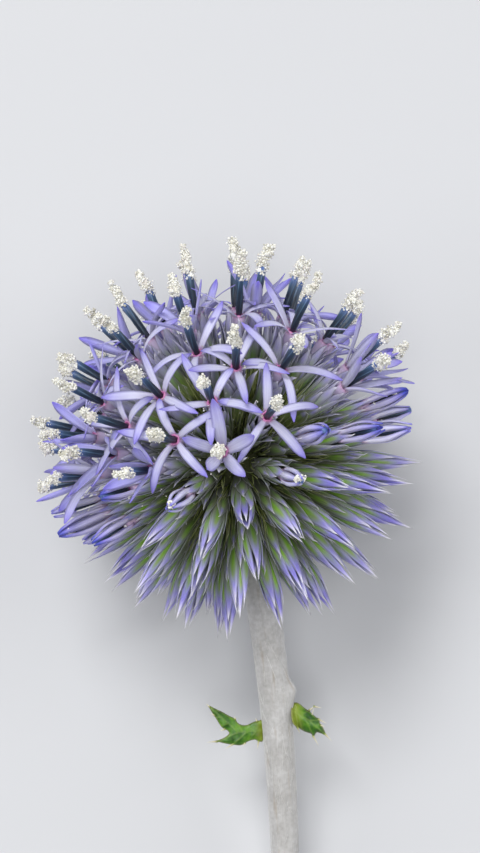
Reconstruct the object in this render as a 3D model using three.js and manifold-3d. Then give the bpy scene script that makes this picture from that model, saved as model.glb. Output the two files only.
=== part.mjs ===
// A cut globe thistle flower head on a short length of stem, lying on a flat surface.
//
// Millimetres. The flower is drawn in its own frame: the origin is the centre of the ball, +Z runs
// out through the crown, -Z down the stem and -Y is the side that looks up once the flower lies down.
// The group that is exported then lays it on z = 0, with the spot under the ball's centre at the origin.

import * as THREE from "three";
import { mergeVertices } from "three/addons/utils/BufferGeometryUtils.js";
import Module from "manifold-3d";

const wasm = await Module();
wasm.setup();

const DEGREE = Math.PI / 180;
const TURN = 2 * Math.PI;

// Driving dimensions of the ball.
const CAPITULA = 132; // places for the small one-flowered heads that make up the ball
const CORE_RADIUS = 7.2; // the round receptacle with the packed bases of the capitula
const BRACT_TIP_RADIUS = 21; // needle tip of a closed capitulum
const THROAT_RADIUS = 16.8; // where the five lobes of an open floret part
const SIDES = 5; // petal lobes, anthers and the bracts that show in one rank

// How the flower lies.
const REST_HEIGHT = 19.3; // of the ball's centre, with the lowest tips pressed flat
const STEM_REACH = 64; // from the ball's centre to the cut end
const STEM_TOP_RADIUS = 1.85;
const STEM_CUT_RADIUS = 1.5;
const LEAN = 13.1 * DEGREE; // of the flower's axis to the left of +Y
// The tilt at which the cut end touches the surface too.
const TILT =
  Math.asin(REST_HEIGHT / Math.hypot(STEM_REACH, STEM_CUT_RADIUS)) -
  Math.atan(STEM_CUT_RADIUS / STEM_REACH);

const GAP = 0.3; // between two neighbouring nodes

// ---------------------------------------------------------------- vectors and solids

const along = (...terms) =>
  terms.reduce((sum, [v, k]) => sum.addScaledVector(v, k), new THREE.Vector3());

// A direction by its angle from the crown and its turn round the axis from the side that looks up.
function fromAngles(polar, turn) {
  const s = Math.sin(polar * DEGREE);
  return new THREE.Vector3(
    s * Math.sin(turn * DEGREE),
    -s * Math.cos(turn * DEGREE),
    Math.cos(polar * DEGREE),
  );
}

const UP = new THREE.Vector3(0, -Math.cos(TILT), Math.sin(TILT)); // away from the surface
const DOWN = UP.clone().negate();

// Two directions square to d, so that (u, v, d) is right-handed.
function squareTo(d) {
  const helper = Math.abs(d.z) < 0.95 ? new THREE.Vector3(0, 0, 1) : new THREE.Vector3(1, 0, 0);
  const u = new THREE.Vector3().crossVectors(helper, d).normalize();
  return [u, new THREE.Vector3().crossVectors(d, u)];
}

// Draws between two numbers, the same each time for the same seed.
const MODULUS = 2147483647;
const MULTIPLIER = 16807;

function drawsFrom(seed) {
  let state = (seed * 7919 * MULTIPLIER) % MODULUS;
  return (low, high) => {
    state = (state * MULTIPLIER) % MODULUS;
    return low + ((high - low) * (state - 1)) / (MODULUS - 1);
  };
}

function solidOf(points, triangles) {
  return new wasm.Manifold(
    new wasm.Mesh({
      numProp: 3,
      vertProperties: new Float32Array(points.flatMap((p) => [p.x, p.y, p.z])),
      triVerts: new Uint32Array(triangles.flat()),
    }),
  );
}

function solidOfGeometry(geometry) {
  const bare = geometry.clone();
  bare.deleteAttribute("normal");
  bare.deleteAttribute("uv");
  const merged = mergeVertices(bare, 1e-4);
  return new wasm.Manifold(
    new wasm.Mesh({
      numProp: 3,
      vertProperties: new Float32Array(merged.attributes.position.array),
      triVerts: new Uint32Array(merged.index.array),
    }),
  );
}

function geometryOf(solid) {
  const mesh = solid.getMesh();
  const positions = new Float32Array(mesh.numVert * 3);
  for (let i = 0; i < mesh.numVert; i++) {
    positions.set(mesh.vertProperties.subarray(i * mesh.numProp, i * mesh.numProp + 3), i * 3);
  }
  const geometry = new THREE.BufferGeometry();
  geometry.setAttribute("position", new THREE.BufferAttribute(positions, 3));
  geometry.setIndex(new THREE.BufferAttribute(new Uint32Array(mesh.triVerts), 1));
  geometry.computeVertexNormals();
  return geometry;
}

// What is left above the surface, as one body.
function restOnSurface(solid) {
  const trimmed = solid.trimByPlane([UP.x, UP.y, UP.z], -REST_HEIGHT);
  return trimmed.decompose().sort((a, b) => b.volume() - a.volume())[0];
}

// ---------------------------------------------------------------- places of the capitula

const GOLDEN_ANGLE = Math.PI * (3 - Math.sqrt(5));
const STEM_CLEARANCE = 160; // no capitulum is further than this from the crown, in degrees
const RELAX_STEPS = 60;
const RELAX_GAIN = 0.02;
const RELAX_LIMIT = 0.03;

// Capitula with a place of their own on the side that looks up. In degrees: from the crown, round it
// from the side that looks up, the turn of one lobe (0 is level, 90 points at the crown), and how far
// the lobes spread from the floret's axis. Where the last two are missing, they are drawn or worked out.
const SET_PLACES = [
  [8, -20],
  [12, 90],
  [24, 33],
  [26, -62],
  [32, 75],
  [38, -50],
  [43, 52],
  [44, -8, 49, 80],
  [47, -78],
  [51, 72],
  [52, 95],
  [55, 9, 48, 82],
  [57, -66],
  [60, -26, 34, 76],
  [60, 28, 42, 84],
  [61, -112],
  [65, 71, 30, 34],
  [67, -84],
  [67, -4, 45, 82],
  [69, -43, 25, 80],
  [72, 57, 20, 30],
  [77, 15, 5, 84],
  [78, -21, 18, 80],
  [81, 77],
  [84, -64, 30, 22],
  [86, -4, 8, 36],
  [87, 29],
  [90, 48],
  [92, -46],
  [99, -22],
  [100, 18],
  [110, -1],
];

// Places whose capitulum never grew, in degrees from the crown and round it.
const BARE_PLACES = [
  [77, 4],
  [72, 40],
];

// A golden-angle spiral from crown to stem, eased apart round the capitula that have a set place.
function placeCapitula() {
  let places = Array.from({ length: CAPITULA }, (_, i) => {
    const polar = Math.acos(1 - (2 * i + 1) / CAPITULA) / DEGREE;
    return fromAngles(Math.min(polar, STEM_CLEARANCE), (i * GOLDEN_ANGLE) / DEGREE);
  });
  const settled = [{ place: DOWN }];
  for (const [polar, turn, lobeTurn, spread] of SET_PLACES) {
    settled.push({ place: fromAngles(polar, turn), lobeTurn, spread });
  }
  const pinned = new Map();
  for (const set of settled) {
    const nearest = places
      .map((p, i) => [p.distanceTo(set.place), i])
      .filter(([, i]) => !pinned.has(i))
      .sort(([a], [b]) => a - b)[0][1];
    places[nearest] = set.place;
    pinned.set(nearest, set);
  }
  const spacing = Math.sqrt((2 * TURN) / CAPITULA / Math.sin(60 * DEGREE));
  for (let step = 0; step < RELAX_STEPS; step++) {
    places = places.map((p, i) => {
      if (pinned.has(i)) return p;
      const push = new THREE.Vector3();
      places.forEach((other, j) => {
        const distance = p.distanceTo(other);
        if (j === i || distance > 2 * spacing) return;
        const away = new THREE.Vector3().subVectors(p, other);
        push.addScaledVector(away, (spacing / distance) ** 4 / distance);
      });
      push.addScaledVector(p, -push.dot(p)).multiplyScalar(RELAX_GAIN).clampLength(0, RELAX_LIMIT);
      const moved = push.add(p).normalize();
      const polar = Math.acos(moved.z) / DEGREE;
      const turn = Math.atan2(moved.x, -moved.y) / DEGREE;
      return fromAngles(Math.min(polar, STEM_CLEARANCE), turn);
    });
  }
  const nearestTo = (spot) =>
    places.map((p, i) => [p.distanceTo(spot), i]).sort(([a], [b]) => a - b)[0][1];
  const bare = new Set(BARE_PLACES.map((angles) => nearestTo(fromAngles(...angles))));
  return places
    .map((direction, i) => ({ direction, seed: i + 1, set: pinned.get(i) ?? {} }))
    .filter(({ seed }) => !bare.has(seed - 1));
}

// The ball opens from the crown down, a little further on its left side, and not where it lies.
const OPEN_TO = 90; // degrees from the crown
const OPEN_FURTHER = 7;
const OPENING_BAND = [-4, 13]; // past the line between open and closed
const PRESSED_TO = 24; // degrees from straight down: tips pressed flat on the surface
const SHUT_TO = 30;
const BUD_TO = 39; // no anthers stand out so near the surface
const LATE_SHARE = 0.1; // florets among the open ones that are still in bud
const LATE_FROM = 25;
const LATE_TURN = 70; // degrees round from the side that looks up
const HALF_OPEN_BAND = 10; // above the line, where lobes still stand half upright
const SPREAD = { open: 78, half: 32 };

function growthAt(direction, set, draw) {
  const polar = Math.acos(direction.z) / DEGREE;
  const turn = Math.atan2(direction.x, -direction.y) / DEGREE;
  const line = OPEN_TO - OPEN_FURTHER * Math.sin(turn * DEGREE);
  const fromDown = direction.angleTo(DOWN) / DEGREE;
  const drawnLate = draw(0, 1) < LATE_SHARE;
  const drawnTurn = draw(0, 360);
  const late = drawnLate && polar > LATE_FROM && Math.abs(turn) > LATE_TURN && !set.place;
  const spread = set.spread ?? (polar > line - HALF_OPEN_BAND ? SPREAD.half : SPREAD.open);
  let stage = "open";
  if (fromDown < BUD_TO || polar > line + OPENING_BAND[0] || late) stage = "opening";
  if (fromDown < SHUT_TO || polar > line + OPENING_BAND[1]) stage = "closed";
  if (fromDown < PRESSED_TO) stage = "pressed";
  return { stage, spread: spread * DEGREE, twist: (set.lobeTurn ?? drawnTurn) * DEGREE };
}

const capitula = placeCapitula().map(({ direction, seed, set }) => {
  const draw = drawsFrom(seed);
  const [u, v] = squareTo(direction);
  const at = (height, radius, angle) =>
    along([direction, height], [u, radius * Math.cos(angle)], [v, radius * Math.sin(angle)]);
  return { direction, u, v, at, draw, ...growthAt(direction, set, draw) };
});

const SECTORS = Array.from({ length: SIDES }, (_, k) => k);

// ---------------------------------------------------------------- involucres: the bracts round each floret

const ROOT_HEIGHT = 4.6; // inside the core
const WAIST_HEIGHT = 12.6;
const WAIST_RADIUS = 1.45;

// Five bracts with free tips stand round either a closed needle or the open mouth of the cup.
const CUPS = {
  pressed: { tips: [18.2, 19.6], spread: 1.15, notch: 18.3, notchRadius: 0.95, apex: BRACT_TIP_RADIUS },
  closed: { tips: [17, 19.2], spread: 1.15, notch: 15.2, notchRadius: 0.95, apex: BRACT_TIP_RADIUS },
  opening: { tips: [15.6, 17], spread: 1.3, notch: 15.4, notchRadius: 1.0, apex: 21.6 },
  open: { tips: [14.9, 15.7], spread: 1.6, notch: 13.9, notchRadius: 1.05, apex: null },
};

function involucre({ at, draw, stage, twist }) {
  const cup = CUPS[stage];
  const waist = (k) => 1 + (k % SIDES);
  const notch = (k) => 1 + SIDES + (k % SIDES);
  const tip = (k) => 1 + 2 * SIDES + (k % SIDES);
  const apex = 1 + 3 * SIDES;
  const turnOf = (k) => twist + (k * TURN) / SIDES;
  const points = [
    at(ROOT_HEIGHT, 0, 0),
    ...SECTORS.map((k) => at(WAIST_HEIGHT, WAIST_RADIUS, turnOf(k))),
    ...SECTORS.map((k) => at(cup.notch, cup.notchRadius, turnOf(k + 0.5))),
    ...SECTORS.map((k) => at(draw(...cup.tips), cup.spread, turnOf(k))),
  ];
  const triangles = SECTORS.flatMap((k) => [
    [0, waist(k + 1), waist(k)],
    [waist(k), waist(k + 1), notch(k)],
    [notch(k + SIDES - 1), waist(k), tip(k)],
    [waist(k), notch(k), tip(k)],
    [notch(k), notch(k + SIDES - 1), tip(k)],
  ]);
  if (cup.apex) {
    points.push(at(cup.apex + draw(-0.6, 0), 0, 0));
    SECTORS.forEach((k) => triangles.push([notch(k), notch(k + 1), apex]));
  } else {
    for (let k = 1; k < SIDES - 1; k++) triangles.push([notch(0), notch(k), notch(k + 1)]);
  }
  return solidOf(points, triangles);
}

function involucres() {
  const core = solidOfGeometry(new THREE.IcosahedronGeometry(CORE_RADIUS, 2));
  const seat = core.trimByPlane([0, 0, 1], -STEM_SEAT);
  return restOnSurface(wasm.Manifold.union([seat, ...capitula.map(involucre)]));
}

// ---------------------------------------------------------------- florets: corolla, anther column and pollen

const TUBE_FOOT = 14.3;
const THROAT = { below: 0.6, keelRadius: 0.6, rimRadius: 0.8, rimHalfWidth: 0.42 };
const LOBE = { length: 5.2, half: 2.7, halfWidth: 0.5, keel: 0.6, curl: 14 * DEGREE };
const LEANING = { end: 0.8, arch: 0.7 }; // above the neighbour's throat, and at its middle
const COLUMN = { radius: 0.5, height: 4.7 };
const POLLEN = { radius: 0.9, swell: 1.2, height: 2.8 };
const SPREAD_STEP = 4 * DEGREE; // by which a lobe closes until it clears its neighbours
const SPREAD_LEAST = 16 * DEGREE;
const CLEAR_OF_NEEDLE = 0.75; // between a lobe's middle line and a closed capitulum

const shut = capitula.filter(({ stage }) => stage !== "open");

// How wide a closed capitulum is at a height, with room for the lobe beside it.
function needleRadius(height) {
  if (height < 18.6) return WAIST_RADIUS + CLEAR_OF_NEEDLE;
  return Math.max(0, (WAIST_RADIUS * (22 - height)) / 3.4) + CLEAR_OF_NEEDLE;
}

function clearOfNeedles(point) {
  return shut.every(({ direction }) => {
    const height = point.dot(direction);
    const off = along([point, 1], [direction, -height]).length();
    return height < 0 || height > 22.5 || off > needleRadius(height);
  });
}

// The open floret nearest to this one among those closer to the crown: one lobe leans on it.
function neighbourOf(floret, open) {
  const apart = (other) => other.direction.distanceTo(floret.direction);
  return open.slice(0, open.indexOf(floret)).sort((a, b) => apart(a) - apart(b))[0];
}

// A free lobe's two stations beyond its root: half way out and at its tip.
function freeLobe(floret, heading) {
  const length = LOBE.length * floret.draw(0.88, 1.06);
  const curl = LOBE.curl * floret.draw(-1, 1);
  for (let spread = floret.spread + floret.draw(-12, 8) * DEGREE; ; spread -= SPREAD_STEP) {
    const bend = spread + curl;
    const middle = along(
      [floret.direction, THROAT_RADIUS + LOBE.half * Math.cos(spread)],
      [heading, THROAT.rimRadius + LOBE.half * Math.sin(spread)],
    );
    const end = along(
      [middle, 1],
      [floret.direction, (length - LOBE.half) * Math.cos(bend)],
      [heading, (length - LOBE.half) * Math.sin(bend)],
    );
    const between = middle.clone().lerp(end, 0.5);
    const clear = [middle, between, end].every(clearOfNeedles);
    if (clear || spread < SPREAD_LEAST) return { middle, end };
  }
}

// The lobe that reaches across to the neighbour and ends in its anther column.
function leaningLobe(root, direction, neighbour) {
  const end = along([neighbour.direction, THROAT_RADIUS + LEANING.end]);
  return { middle: along([root, 0.5], [end, 0.5], [direction, LEANING.arch]), end };
}

function makeFloret(capitulum, open) {
  const { direction, u, v, at, draw, twist } = capitulum;
  const points = [];
  const ring = (makePoint) => {
    const first = points.length;
    SECTORS.forEach((k) => points.push(makePoint(k)));
    return (k) => first + ((k + SIDES) % SIDES);
  };
  const turnOf = (k) => twist + (k * TURN) / SIDES;
  const heading = (k) => along([u, Math.cos(turnOf(k))], [v, Math.sin(turnOf(k))]);
  const sideways = (k) => along([u, -Math.sin(turnOf(k))], [v, Math.cos(turnOf(k))]);
  const neighbour = neighbourOf(capitulum, open);
  const nearness = (k) => (neighbour ? heading(k).dot(neighbour.direction) : 0);
  const leaning = neighbour ? SECTORS.toSorted((a, b) => nearness(b) - nearness(a))[0] : null;
  const lines = SECTORS.map((k) =>
    k === leaning
      ? leaningLobe(at(THROAT_RADIUS, THROAT.rimRadius, turnOf(k)), direction, neighbour)
      : freeLobe(capitulum, heading(k)),
  );
  const rim = (side) => (k) =>
    along([at(THROAT_RADIUS, THROAT.rimRadius, turnOf(k)), 1], [sideways(k), side * THROAT.rimHalfWidth]);
  const middle = (side) => (k) => along([lines[k].middle, 1], [sideways(k), side * LOBE.halfWidth]);

  const foot = points.push(at(TUBE_FOOT, 0, 0)) - 1;
  const keelRoot = ring((k) => at(THROAT_RADIUS - THROAT.below, THROAT.keelRadius, turnOf(k)));
  const rimLeft = ring(rim(-1));
  const rimRight = ring(rim(1));
  const midLeft = ring(middle(-1));
  const midRight = ring(middle(1));
  const midKeel = ring((k) => along([lines[k].middle, 1], [direction, -LOBE.keel]));
  const end = ring((k) => lines[k].end);
  const base = ring((k) => at(THROAT_RADIUS, COLUMN.radius, turnOf(k + 0.5)));
  const top = ring((k) => at(THROAT_RADIUS + COLUMN.height, COLUMN.radius, turnOf(k + 0.5)));
  const pollenAt = (rise) => THROAT_RADIUS + COLUMN.height + rise;
  const swell = ring((k) => at(pollenAt(POLLEN.swell), POLLEN.radius, turnOf(k + draw(0.3, 0.7))));
  const summit = points.push(at(pollenAt(POLLEN.height), 0, 0)) - 1;

  const band = (lower, upper) => (k) => [
    [lower(k), lower(k + 1), upper(k + 1)],
    [lower(k), upper(k + 1), upper(k)],
  ];
  const triangles = SECTORS.flatMap((k) => [
    [foot, keelRoot(k + 1), keelRoot(k)],
    // The wall between two lobes.
    [keelRoot(k), keelRoot(k + 1), rimLeft(k + 1)],
    [keelRoot(k), rimLeft(k + 1), rimRight(k)],
    // The lobe: a blade with a keel below it.
    [rimLeft(k), midLeft(k), midRight(k)],
    [rimLeft(k), midRight(k), rimRight(k)],
    [rimRight(k), midRight(k), midKeel(k)],
    [rimRight(k), midKeel(k), keelRoot(k)],
    [keelRoot(k), midKeel(k), midLeft(k)],
    [keelRoot(k), midLeft(k), rimLeft(k)],
    [midLeft(k), end(k), midRight(k)],
    [midRight(k), end(k), midKeel(k)],
    [midKeel(k), end(k), midLeft(k)],
    // The throat's rim, up to the anther column.
    [rimLeft(k), rimRight(k), base(k)],
    [rimLeft(k), base(k), base(k - 1)],
    [rimRight(k), rimLeft(k + 1), base(k)],
    ...band(base, top)(k),
    ...band(top, swell)(k),
    [swell(k), swell(k + 1), summit],
  ]);
  return solidOf(points, triangles);
}

function florets() {
  const open = capitula
    .filter(({ stage }) => stage === "open")
    .sort((a, b) => b.direction.z - a.direction.z);
  return restOnSurface(wasm.Manifold.union(open.map((capitulum) => makeFloret(capitulum, open))));
}

// ---------------------------------------------------------------- stem

const STEM_SEAT = 6.6; // how far below the ball's centre the receptacle is flat for the stem
const STEM_SIDES = 12;
const STEM_RINGS = 13;
const STEM_BEND = 0.0043; // radians to each millimetre, as far as STEM_BEND_END
const STEM_BEND_END = 44;
const NODE = { reach: 27, turn: 80 * DEGREE, rise: 0.45, length: 2.2, width: 0.7 };

// How far the stem's middle line is off the ball's axis, towards -X, at a distance below the centre.
function stemOffset(reach) {
  const bent = Math.min(reach, STEM_BEND_END);
  return -(STEM_BEND * bent * bent) / 2 - STEM_BEND * bent * (reach - bent);
}

function stemRadius(reach) {
  const share = (reach - STEM_SEAT) / (STEM_REACH - STEM_SEAT);
  return STEM_TOP_RADIUS + (STEM_CUT_RADIUS - STEM_TOP_RADIUS) * share;
}

// The stem, with the swelling that bears the upper leaf.
function stem() {
  const top = STEM_SEAT + GAP;
  const profile = [new THREE.Vector2(0, -STEM_REACH)];
  for (let i = 0; i <= STEM_RINGS; i++) {
    const reach = STEM_REACH + ((top - STEM_REACH) * i) / STEM_RINGS;
    profile.push(new THREE.Vector2(stemRadius(reach), -reach));
  }
  profile.push(new THREE.Vector2(0, -top));
  const geometry = new THREE.LatheGeometry(profile, STEM_SIDES).rotateX(90 * DEGREE);
  const position = geometry.attributes.position;
  const point = new THREE.Vector3();
  for (let i = 0; i < position.count; i++) {
    point.fromBufferAttribute(position, i);
    const reach = -point.z;
    const turn = Math.atan2(point.x, -point.y);
    const radius = Math.hypot(point.x, point.y);
    const nearNode =
      Math.exp(-(((reach - NODE.reach) / NODE.length) ** 2)) *
      Math.exp(-(((turn - NODE.turn) / NODE.width) ** 2));
    const swollen = radius > 0.1 ? 1 + (NODE.rise * nearNode) / radius : 1;
    position.setXYZ(i, point.x * swollen + stemOffset(reach), point.y * swollen, point.z);
  }
  return restOnSurface(solidOfGeometry(geometry));
}

// ---------------------------------------------------------------- leaves

const LEAF_THICKNESS = 0.6;
const LEAF_CUP = 0.1; // how strongly a blade curls up, per millimetre out

// Outlines run round the blade: x out from the stem, and y along +Y of the row as the flower lies.
const LEFT_LEAF = {
  reach: 30.4,
  side: -1,
  outline: [
    [0, 1.2],
    [1.4, 0.6],
    [2.5, 0.85],
    [3.6, 1.7],
    [6.0, 3.0],
    [5.2, 1.6],
    [4.2, 0.3],
    [3.7, -0.45],
    [4.4, -1.0],
    [5.9, -1.25],
    [4.4, -1.6],
    [3.6, -2.1],
    [2.8, -1.55],
    [1.4, -1.5],
    [0.3, -2.1],
    [-0.2, -1.0],
  ],
};
const RIGHT_LEAF = {
  reach: 29.1,
  side: 1,
  outline: [
    [-0.2, 1.1],
    [1.0, 1.2],
    [1.9, 0.4],
    [3.0, 0.1],
    [4.1, -0.8],
    [3.2, -1.2],
    [3.7, -1.9],
    [4.4, -2.9],
    [3.3, -2.5],
    [2.8, -2.6],
    [2.8, -3.7],
    [2.0, -2.6],
    [1.2, -1.7],
    [0.2, -1.1],
  ],
};

// A small spiny leaf: a thin arched blade that starts at the stem's side.
function leaf({ reach, side, outline }) {
  const turned = outline.map(([out, up]) => [
    Math.max(0, out * Math.cos(LEAN) + side * up * Math.sin(LEAN)),
    up * Math.cos(LEAN) - side * out * Math.sin(LEAN),
  ]);
  const shape = new THREE.Shape(turned.map(([x, y]) => new THREE.Vector2(x, y)));
  const blade = new THREE.ExtrudeGeometry(shape, { depth: LEAF_THICKNESS, bevelEnabled: false });
  const position = blade.attributes.position;
  const foot = stemRadius(reach) + GAP + (side > 0 ? NODE.rise : 0);
  for (let i = 0; i < position.count; i++) {
    const out = position.getX(i);
    const rise = (LEAF_CUP * out * out) / 2;
    position.setXYZ(
      i,
      stemOffset(reach) + side * (foot + out),
      -side * (position.getZ(i) - LEAF_THICKNESS / 2) - rise,
      position.getY(i) - reach,
    );
  }
  return solidOfGeometry(blade);
}

// ---------------------------------------------------------------- the flower, laid down

function material(colour, roughness) {
  return new THREE.MeshStandardMaterial({ color: new THREE.Color(...colour), roughness, metalness: 0 });
}

const PARTS = [
  ["involucres", involucres, material([0.42, 0.47, 0.42], 0.7)],
  ["florets", florets, material([0.6, 0.56, 0.86], 0.6)],
  ["stem", stem, material([0.6, 0.6, 0.56], 0.9)],
  ["leaf_left", () => leaf(LEFT_LEAF), material([0.22, 0.42, 0.1], 0.6)],
  ["leaf_right", () => leaf(RIGHT_LEAF), material([0.22, 0.42, 0.1], 0.6)],
];

const flower = new THREE.Group();
for (const [name, make, finish] of PARTS) {
  const mesh = new THREE.Mesh(geometryOf(make()), finish);
  mesh.name = name;
  flower.add(mesh);
}
flower.rotation.set(TILT - 90 * DEGREE, 0, LEAN, "ZYX");
flower.position.z = REST_HEIGHT;

export default flower;
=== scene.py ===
"""A cut globe thistle flower head on a short stem, lying on a pale surface."""

import math
import random

import bpy
import numpy as np
from mathutils import Matrix, Vector, geometry, noise


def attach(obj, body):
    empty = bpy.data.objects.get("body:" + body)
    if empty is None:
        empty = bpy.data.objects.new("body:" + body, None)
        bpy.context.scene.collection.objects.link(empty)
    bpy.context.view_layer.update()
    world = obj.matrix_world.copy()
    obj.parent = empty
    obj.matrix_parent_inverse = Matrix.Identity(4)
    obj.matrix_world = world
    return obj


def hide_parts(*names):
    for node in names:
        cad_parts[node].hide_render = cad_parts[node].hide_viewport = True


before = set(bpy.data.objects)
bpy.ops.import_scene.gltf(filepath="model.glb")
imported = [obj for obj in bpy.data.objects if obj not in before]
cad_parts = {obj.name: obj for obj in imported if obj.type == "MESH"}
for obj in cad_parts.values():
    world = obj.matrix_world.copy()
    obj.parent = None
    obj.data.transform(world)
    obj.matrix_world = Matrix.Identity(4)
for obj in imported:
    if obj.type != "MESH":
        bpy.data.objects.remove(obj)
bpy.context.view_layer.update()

# ---- Surface, camera and lamps
# The flower lies on a plain pale surface. The camera looks down on it, square to its stem, and
# large soft lamps light it from over the crown, from over the stem and from both sides.

MM = 0.001
REST_HEIGHT = 19.3  # mm from the surface to the ball's centre
STEM_REACH = 64.0  # from the ball's centre to the cut end
STEM_CUT_RADIUS = 1.5
LEAN = math.radians(13.1)  # of the flower's axis to the left of +Y
TILT = math.asin(REST_HEIGHT / math.hypot(STEM_REACH, STEM_CUT_RADIUS)) - math.atan(
    STEM_CUT_RADIUS / STEM_REACH
)
# From the flower's own frame, with its crown up, to where it lies.
TO_ROW = np.array(Matrix.Rotation(LEAN, 3, "Z") @ Matrix.Rotation(TILT - math.pi / 2, 3, "X"))

PICTURE = (480, 853)  # pixels
BALL_CENTRE_PIXEL = (236, 458)
PIXEL = 0.112  # mm at the ball's centre
PICTURE_LEAN = math.radians(12.5)  # of the flower's axis in the picture
LENS = 100.0
SENSOR = 36.0


def paint(red, green, blue):
    """A colour given as screen values, as Blender's nodes want it."""
    return tuple(
        (c / 12.92 if c <= 0.04045 else ((c + 0.055) / 1.055) ** 2.4)
        for c in (red / 255, green / 255, blue / 255)
    ) + (1.0,)


def join(tree, kind, inputs=None, **settings):
    """A new node with its settings, and each input given as a value or as the output that feeds it."""
    node = tree.nodes.new(kind)
    for name, value in settings.items():
        setattr(node, name, value)
    for name, value in (inputs or {}).items():
        if isinstance(value, bpy.types.NodeSocket):
            tree.links.new(value, node.inputs[name])
        else:
            node.inputs[name].default_value = value
    return node


def new_material(name):
    """An empty material and its tree."""
    material = bpy.data.materials.new(name)
    material.use_nodes = True
    material.node_tree.nodes.clear()
    return material, material.node_tree


def mottle(tree, scale, detail, **inputs):
    """A cloudy mask, which runs on the piece's own box where no Vector is given."""
    clouds = join(tree, "ShaderNodeTexNoise", {"Scale": scale, "Detail": detail, **inputs})
    return clouds.outputs["Fac"]


def blend(tree, factor, first, second, kind="MIX"):
    """Two colours mixed or multiplied, each given as screen values or as the output that feeds it."""
    first, second = (paint(*c) if isinstance(c, tuple) else c for c in (first, second))
    inputs = {"Factor": factor, "A": first, "B": second}
    return join(tree, "ShaderNodeMix", inputs, data_type="RGBA", blend_type=kind).outputs["Result"]


def dress(tree, inputs):
    """Ends a material with one Principled surface that has these inputs."""
    surface = join(tree, "ShaderNodeBsdfPrincipled", inputs)
    join(tree, "ShaderNodeOutputMaterial", {"Surface": surface.outputs["BSDF"]})


def put_in_scene(name, data):
    thing = bpy.data.objects.new(name, data)
    bpy.context.scene.collection.objects.link(thing)
    return thing


FLOOR_SIDE = 3.0
floor_mesh = bpy.data.meshes.new("floor")
half = FLOOR_SIDE / 2
floor_mesh.from_pydata(
    [(-half, -half, 0), (half, -half, 0), (half, half, 0), (-half, half, 0)], [], [(0, 1, 2, 3)]
)
floor = put_in_scene("floor", floor_mesh)
floor_finish, tree = new_material("pale_surface")
colour = blend(tree, mottle(tree, 30.0, 3.0), (200, 201, 204), (206, 207, 209))
dress(tree, {"Base Color": colour, "Roughness": 0.7, "Specular IOR Level": 0.2})
floor_mesh.materials.append(floor_finish)

camera_data = bpy.data.cameras.new("camera")
camera_data.lens = LENS
camera_data.sensor_width = SENSOR
camera_data.clip_start = 0.01
camera = put_in_scene("camera", camera_data)
flower_right, look_back, flower_axis = (
    Vector(TO_ROW @ way) for way in ((1, 0, 0), (0, -1, 0), (0, 0, 1))
)
picture_right = math.cos(PICTURE_LEAN) * flower_right - math.sin(PICTURE_LEAN) * flower_axis
picture_up = math.sin(PICTURE_LEAN) * flower_right + math.cos(PICTURE_LEAN) * flower_axis
ball_centre = Vector((0, 0, REST_HEIGHT))
distance = PICTURE[1] * PIXEL * LENS / SENSOR
shift_right = (PICTURE[0] / 2 - BALL_CENTRE_PIXEL[0]) * PIXEL
shift_up = (BALL_CENTRE_PIXEL[1] - PICTURE[1] / 2) * PIXEL
camera.location = MM * (
    ball_centre + look_back * distance + picture_right * shift_right + picture_up * shift_up
)
camera.rotation_mode = "QUATERNION"
camera.rotation_quaternion = (
    Matrix((picture_right, picture_up, look_back)).transposed().to_quaternion()
)
bpy.context.scene.camera = camera

LAMPS = {  # name: place in metres, side of the square in metres, watts
    "key_over_crown": ((-0.22, 0.42, 0.96), 0.46, 7.2),
    "front": ((0.10, -0.38, 0.96), 0.46, 3.7),
    "fill_left": ((-0.86, -0.20, 0.62), 0.62, 2.7),
    "fill_right": ((0.86, 0.04, 0.54), 0.62, 3.1),
}
for name, (place, side, watts) in LAMPS.items():
    lamp_data = bpy.data.lights.new(name, "AREA")
    lamp_data.size = side
    lamp_data.energy = watts
    lamp = put_in_scene(name, lamp_data)
    lamp.location = place
    towards = MM * ball_centre - Vector(place)
    lamp.rotation_mode = "QUATERNION"
    lamp.rotation_quaternion = towards.to_track_quat("-Z", "Y")

world = bpy.data.worlds.new("studio")
world.use_nodes = True
background = world.node_tree.nodes["Background"]
background.inputs["Color"].default_value = paint(225, 228, 235)
background.inputs["Strength"].default_value = 0.2
bpy.context.scene.world = world
bpy.context.scene.view_settings.view_transform = "Standard"

# ---- Receptacle
# The round green core at the head of the stem, from which every capitulum grows. It is living
# tissue, wholly hidden by what stands on it. This section also finds where each capitulum stands.

TURN = 2 * math.pi
CAPITULA = 132
CORE_RADIUS = 7.2
BRACT_TIP_RADIUS = 21.0
THROAT_RADIUS = 16.8  # where the five lobes of an open floret part
SIDES = 5

DOWN = np.array((0, math.cos(TILT), -math.sin(TILT)))  # in the flower's own frame
PRESSED = 0.02  # mm above the surface where a pressed tip lies

SET_PLACES = [  # degrees from the crown, round it, turn of one lobe, spread of the lobes
    (8, -20),
    (12, 90),
    (24, 33),
    (26, -62),
    (32, 75),
    (38, -50),
    (43, 52),
    (44, -8, 49, 80),
    (47, -78),
    (51, 72),
    (52, 95),
    (55, 9, 48, 82),
    (57, -66),
    (60, -26, 34, 76),
    (60, 28, 42, 84),
    (61, -112),
    (65, 71, 30, 34),
    (67, -84),
    (67, -4, 45, 82),
    (69, -43, 25, 80),
    (72, 57, 20, 30),
    (77, 15, 5, 84),
    (78, -21, 18, 80),
    (81, 77),
    (84, -64, 30, 22),
    (86, -4, 8, 36),
    (87, 29),
    (90, 48),
    (92, -46),
    (99, -22),
    (100, 18),
    (110, -1),
]
BARE_PLACES = [(77, 4), (72, 40)]  # where no capitulum grew
GOLDEN_ANGLE = math.pi * (3 - math.sqrt(5))
STEM_CLEARANCE = 160  # degrees from the crown, past which the stem leaves no room
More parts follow.
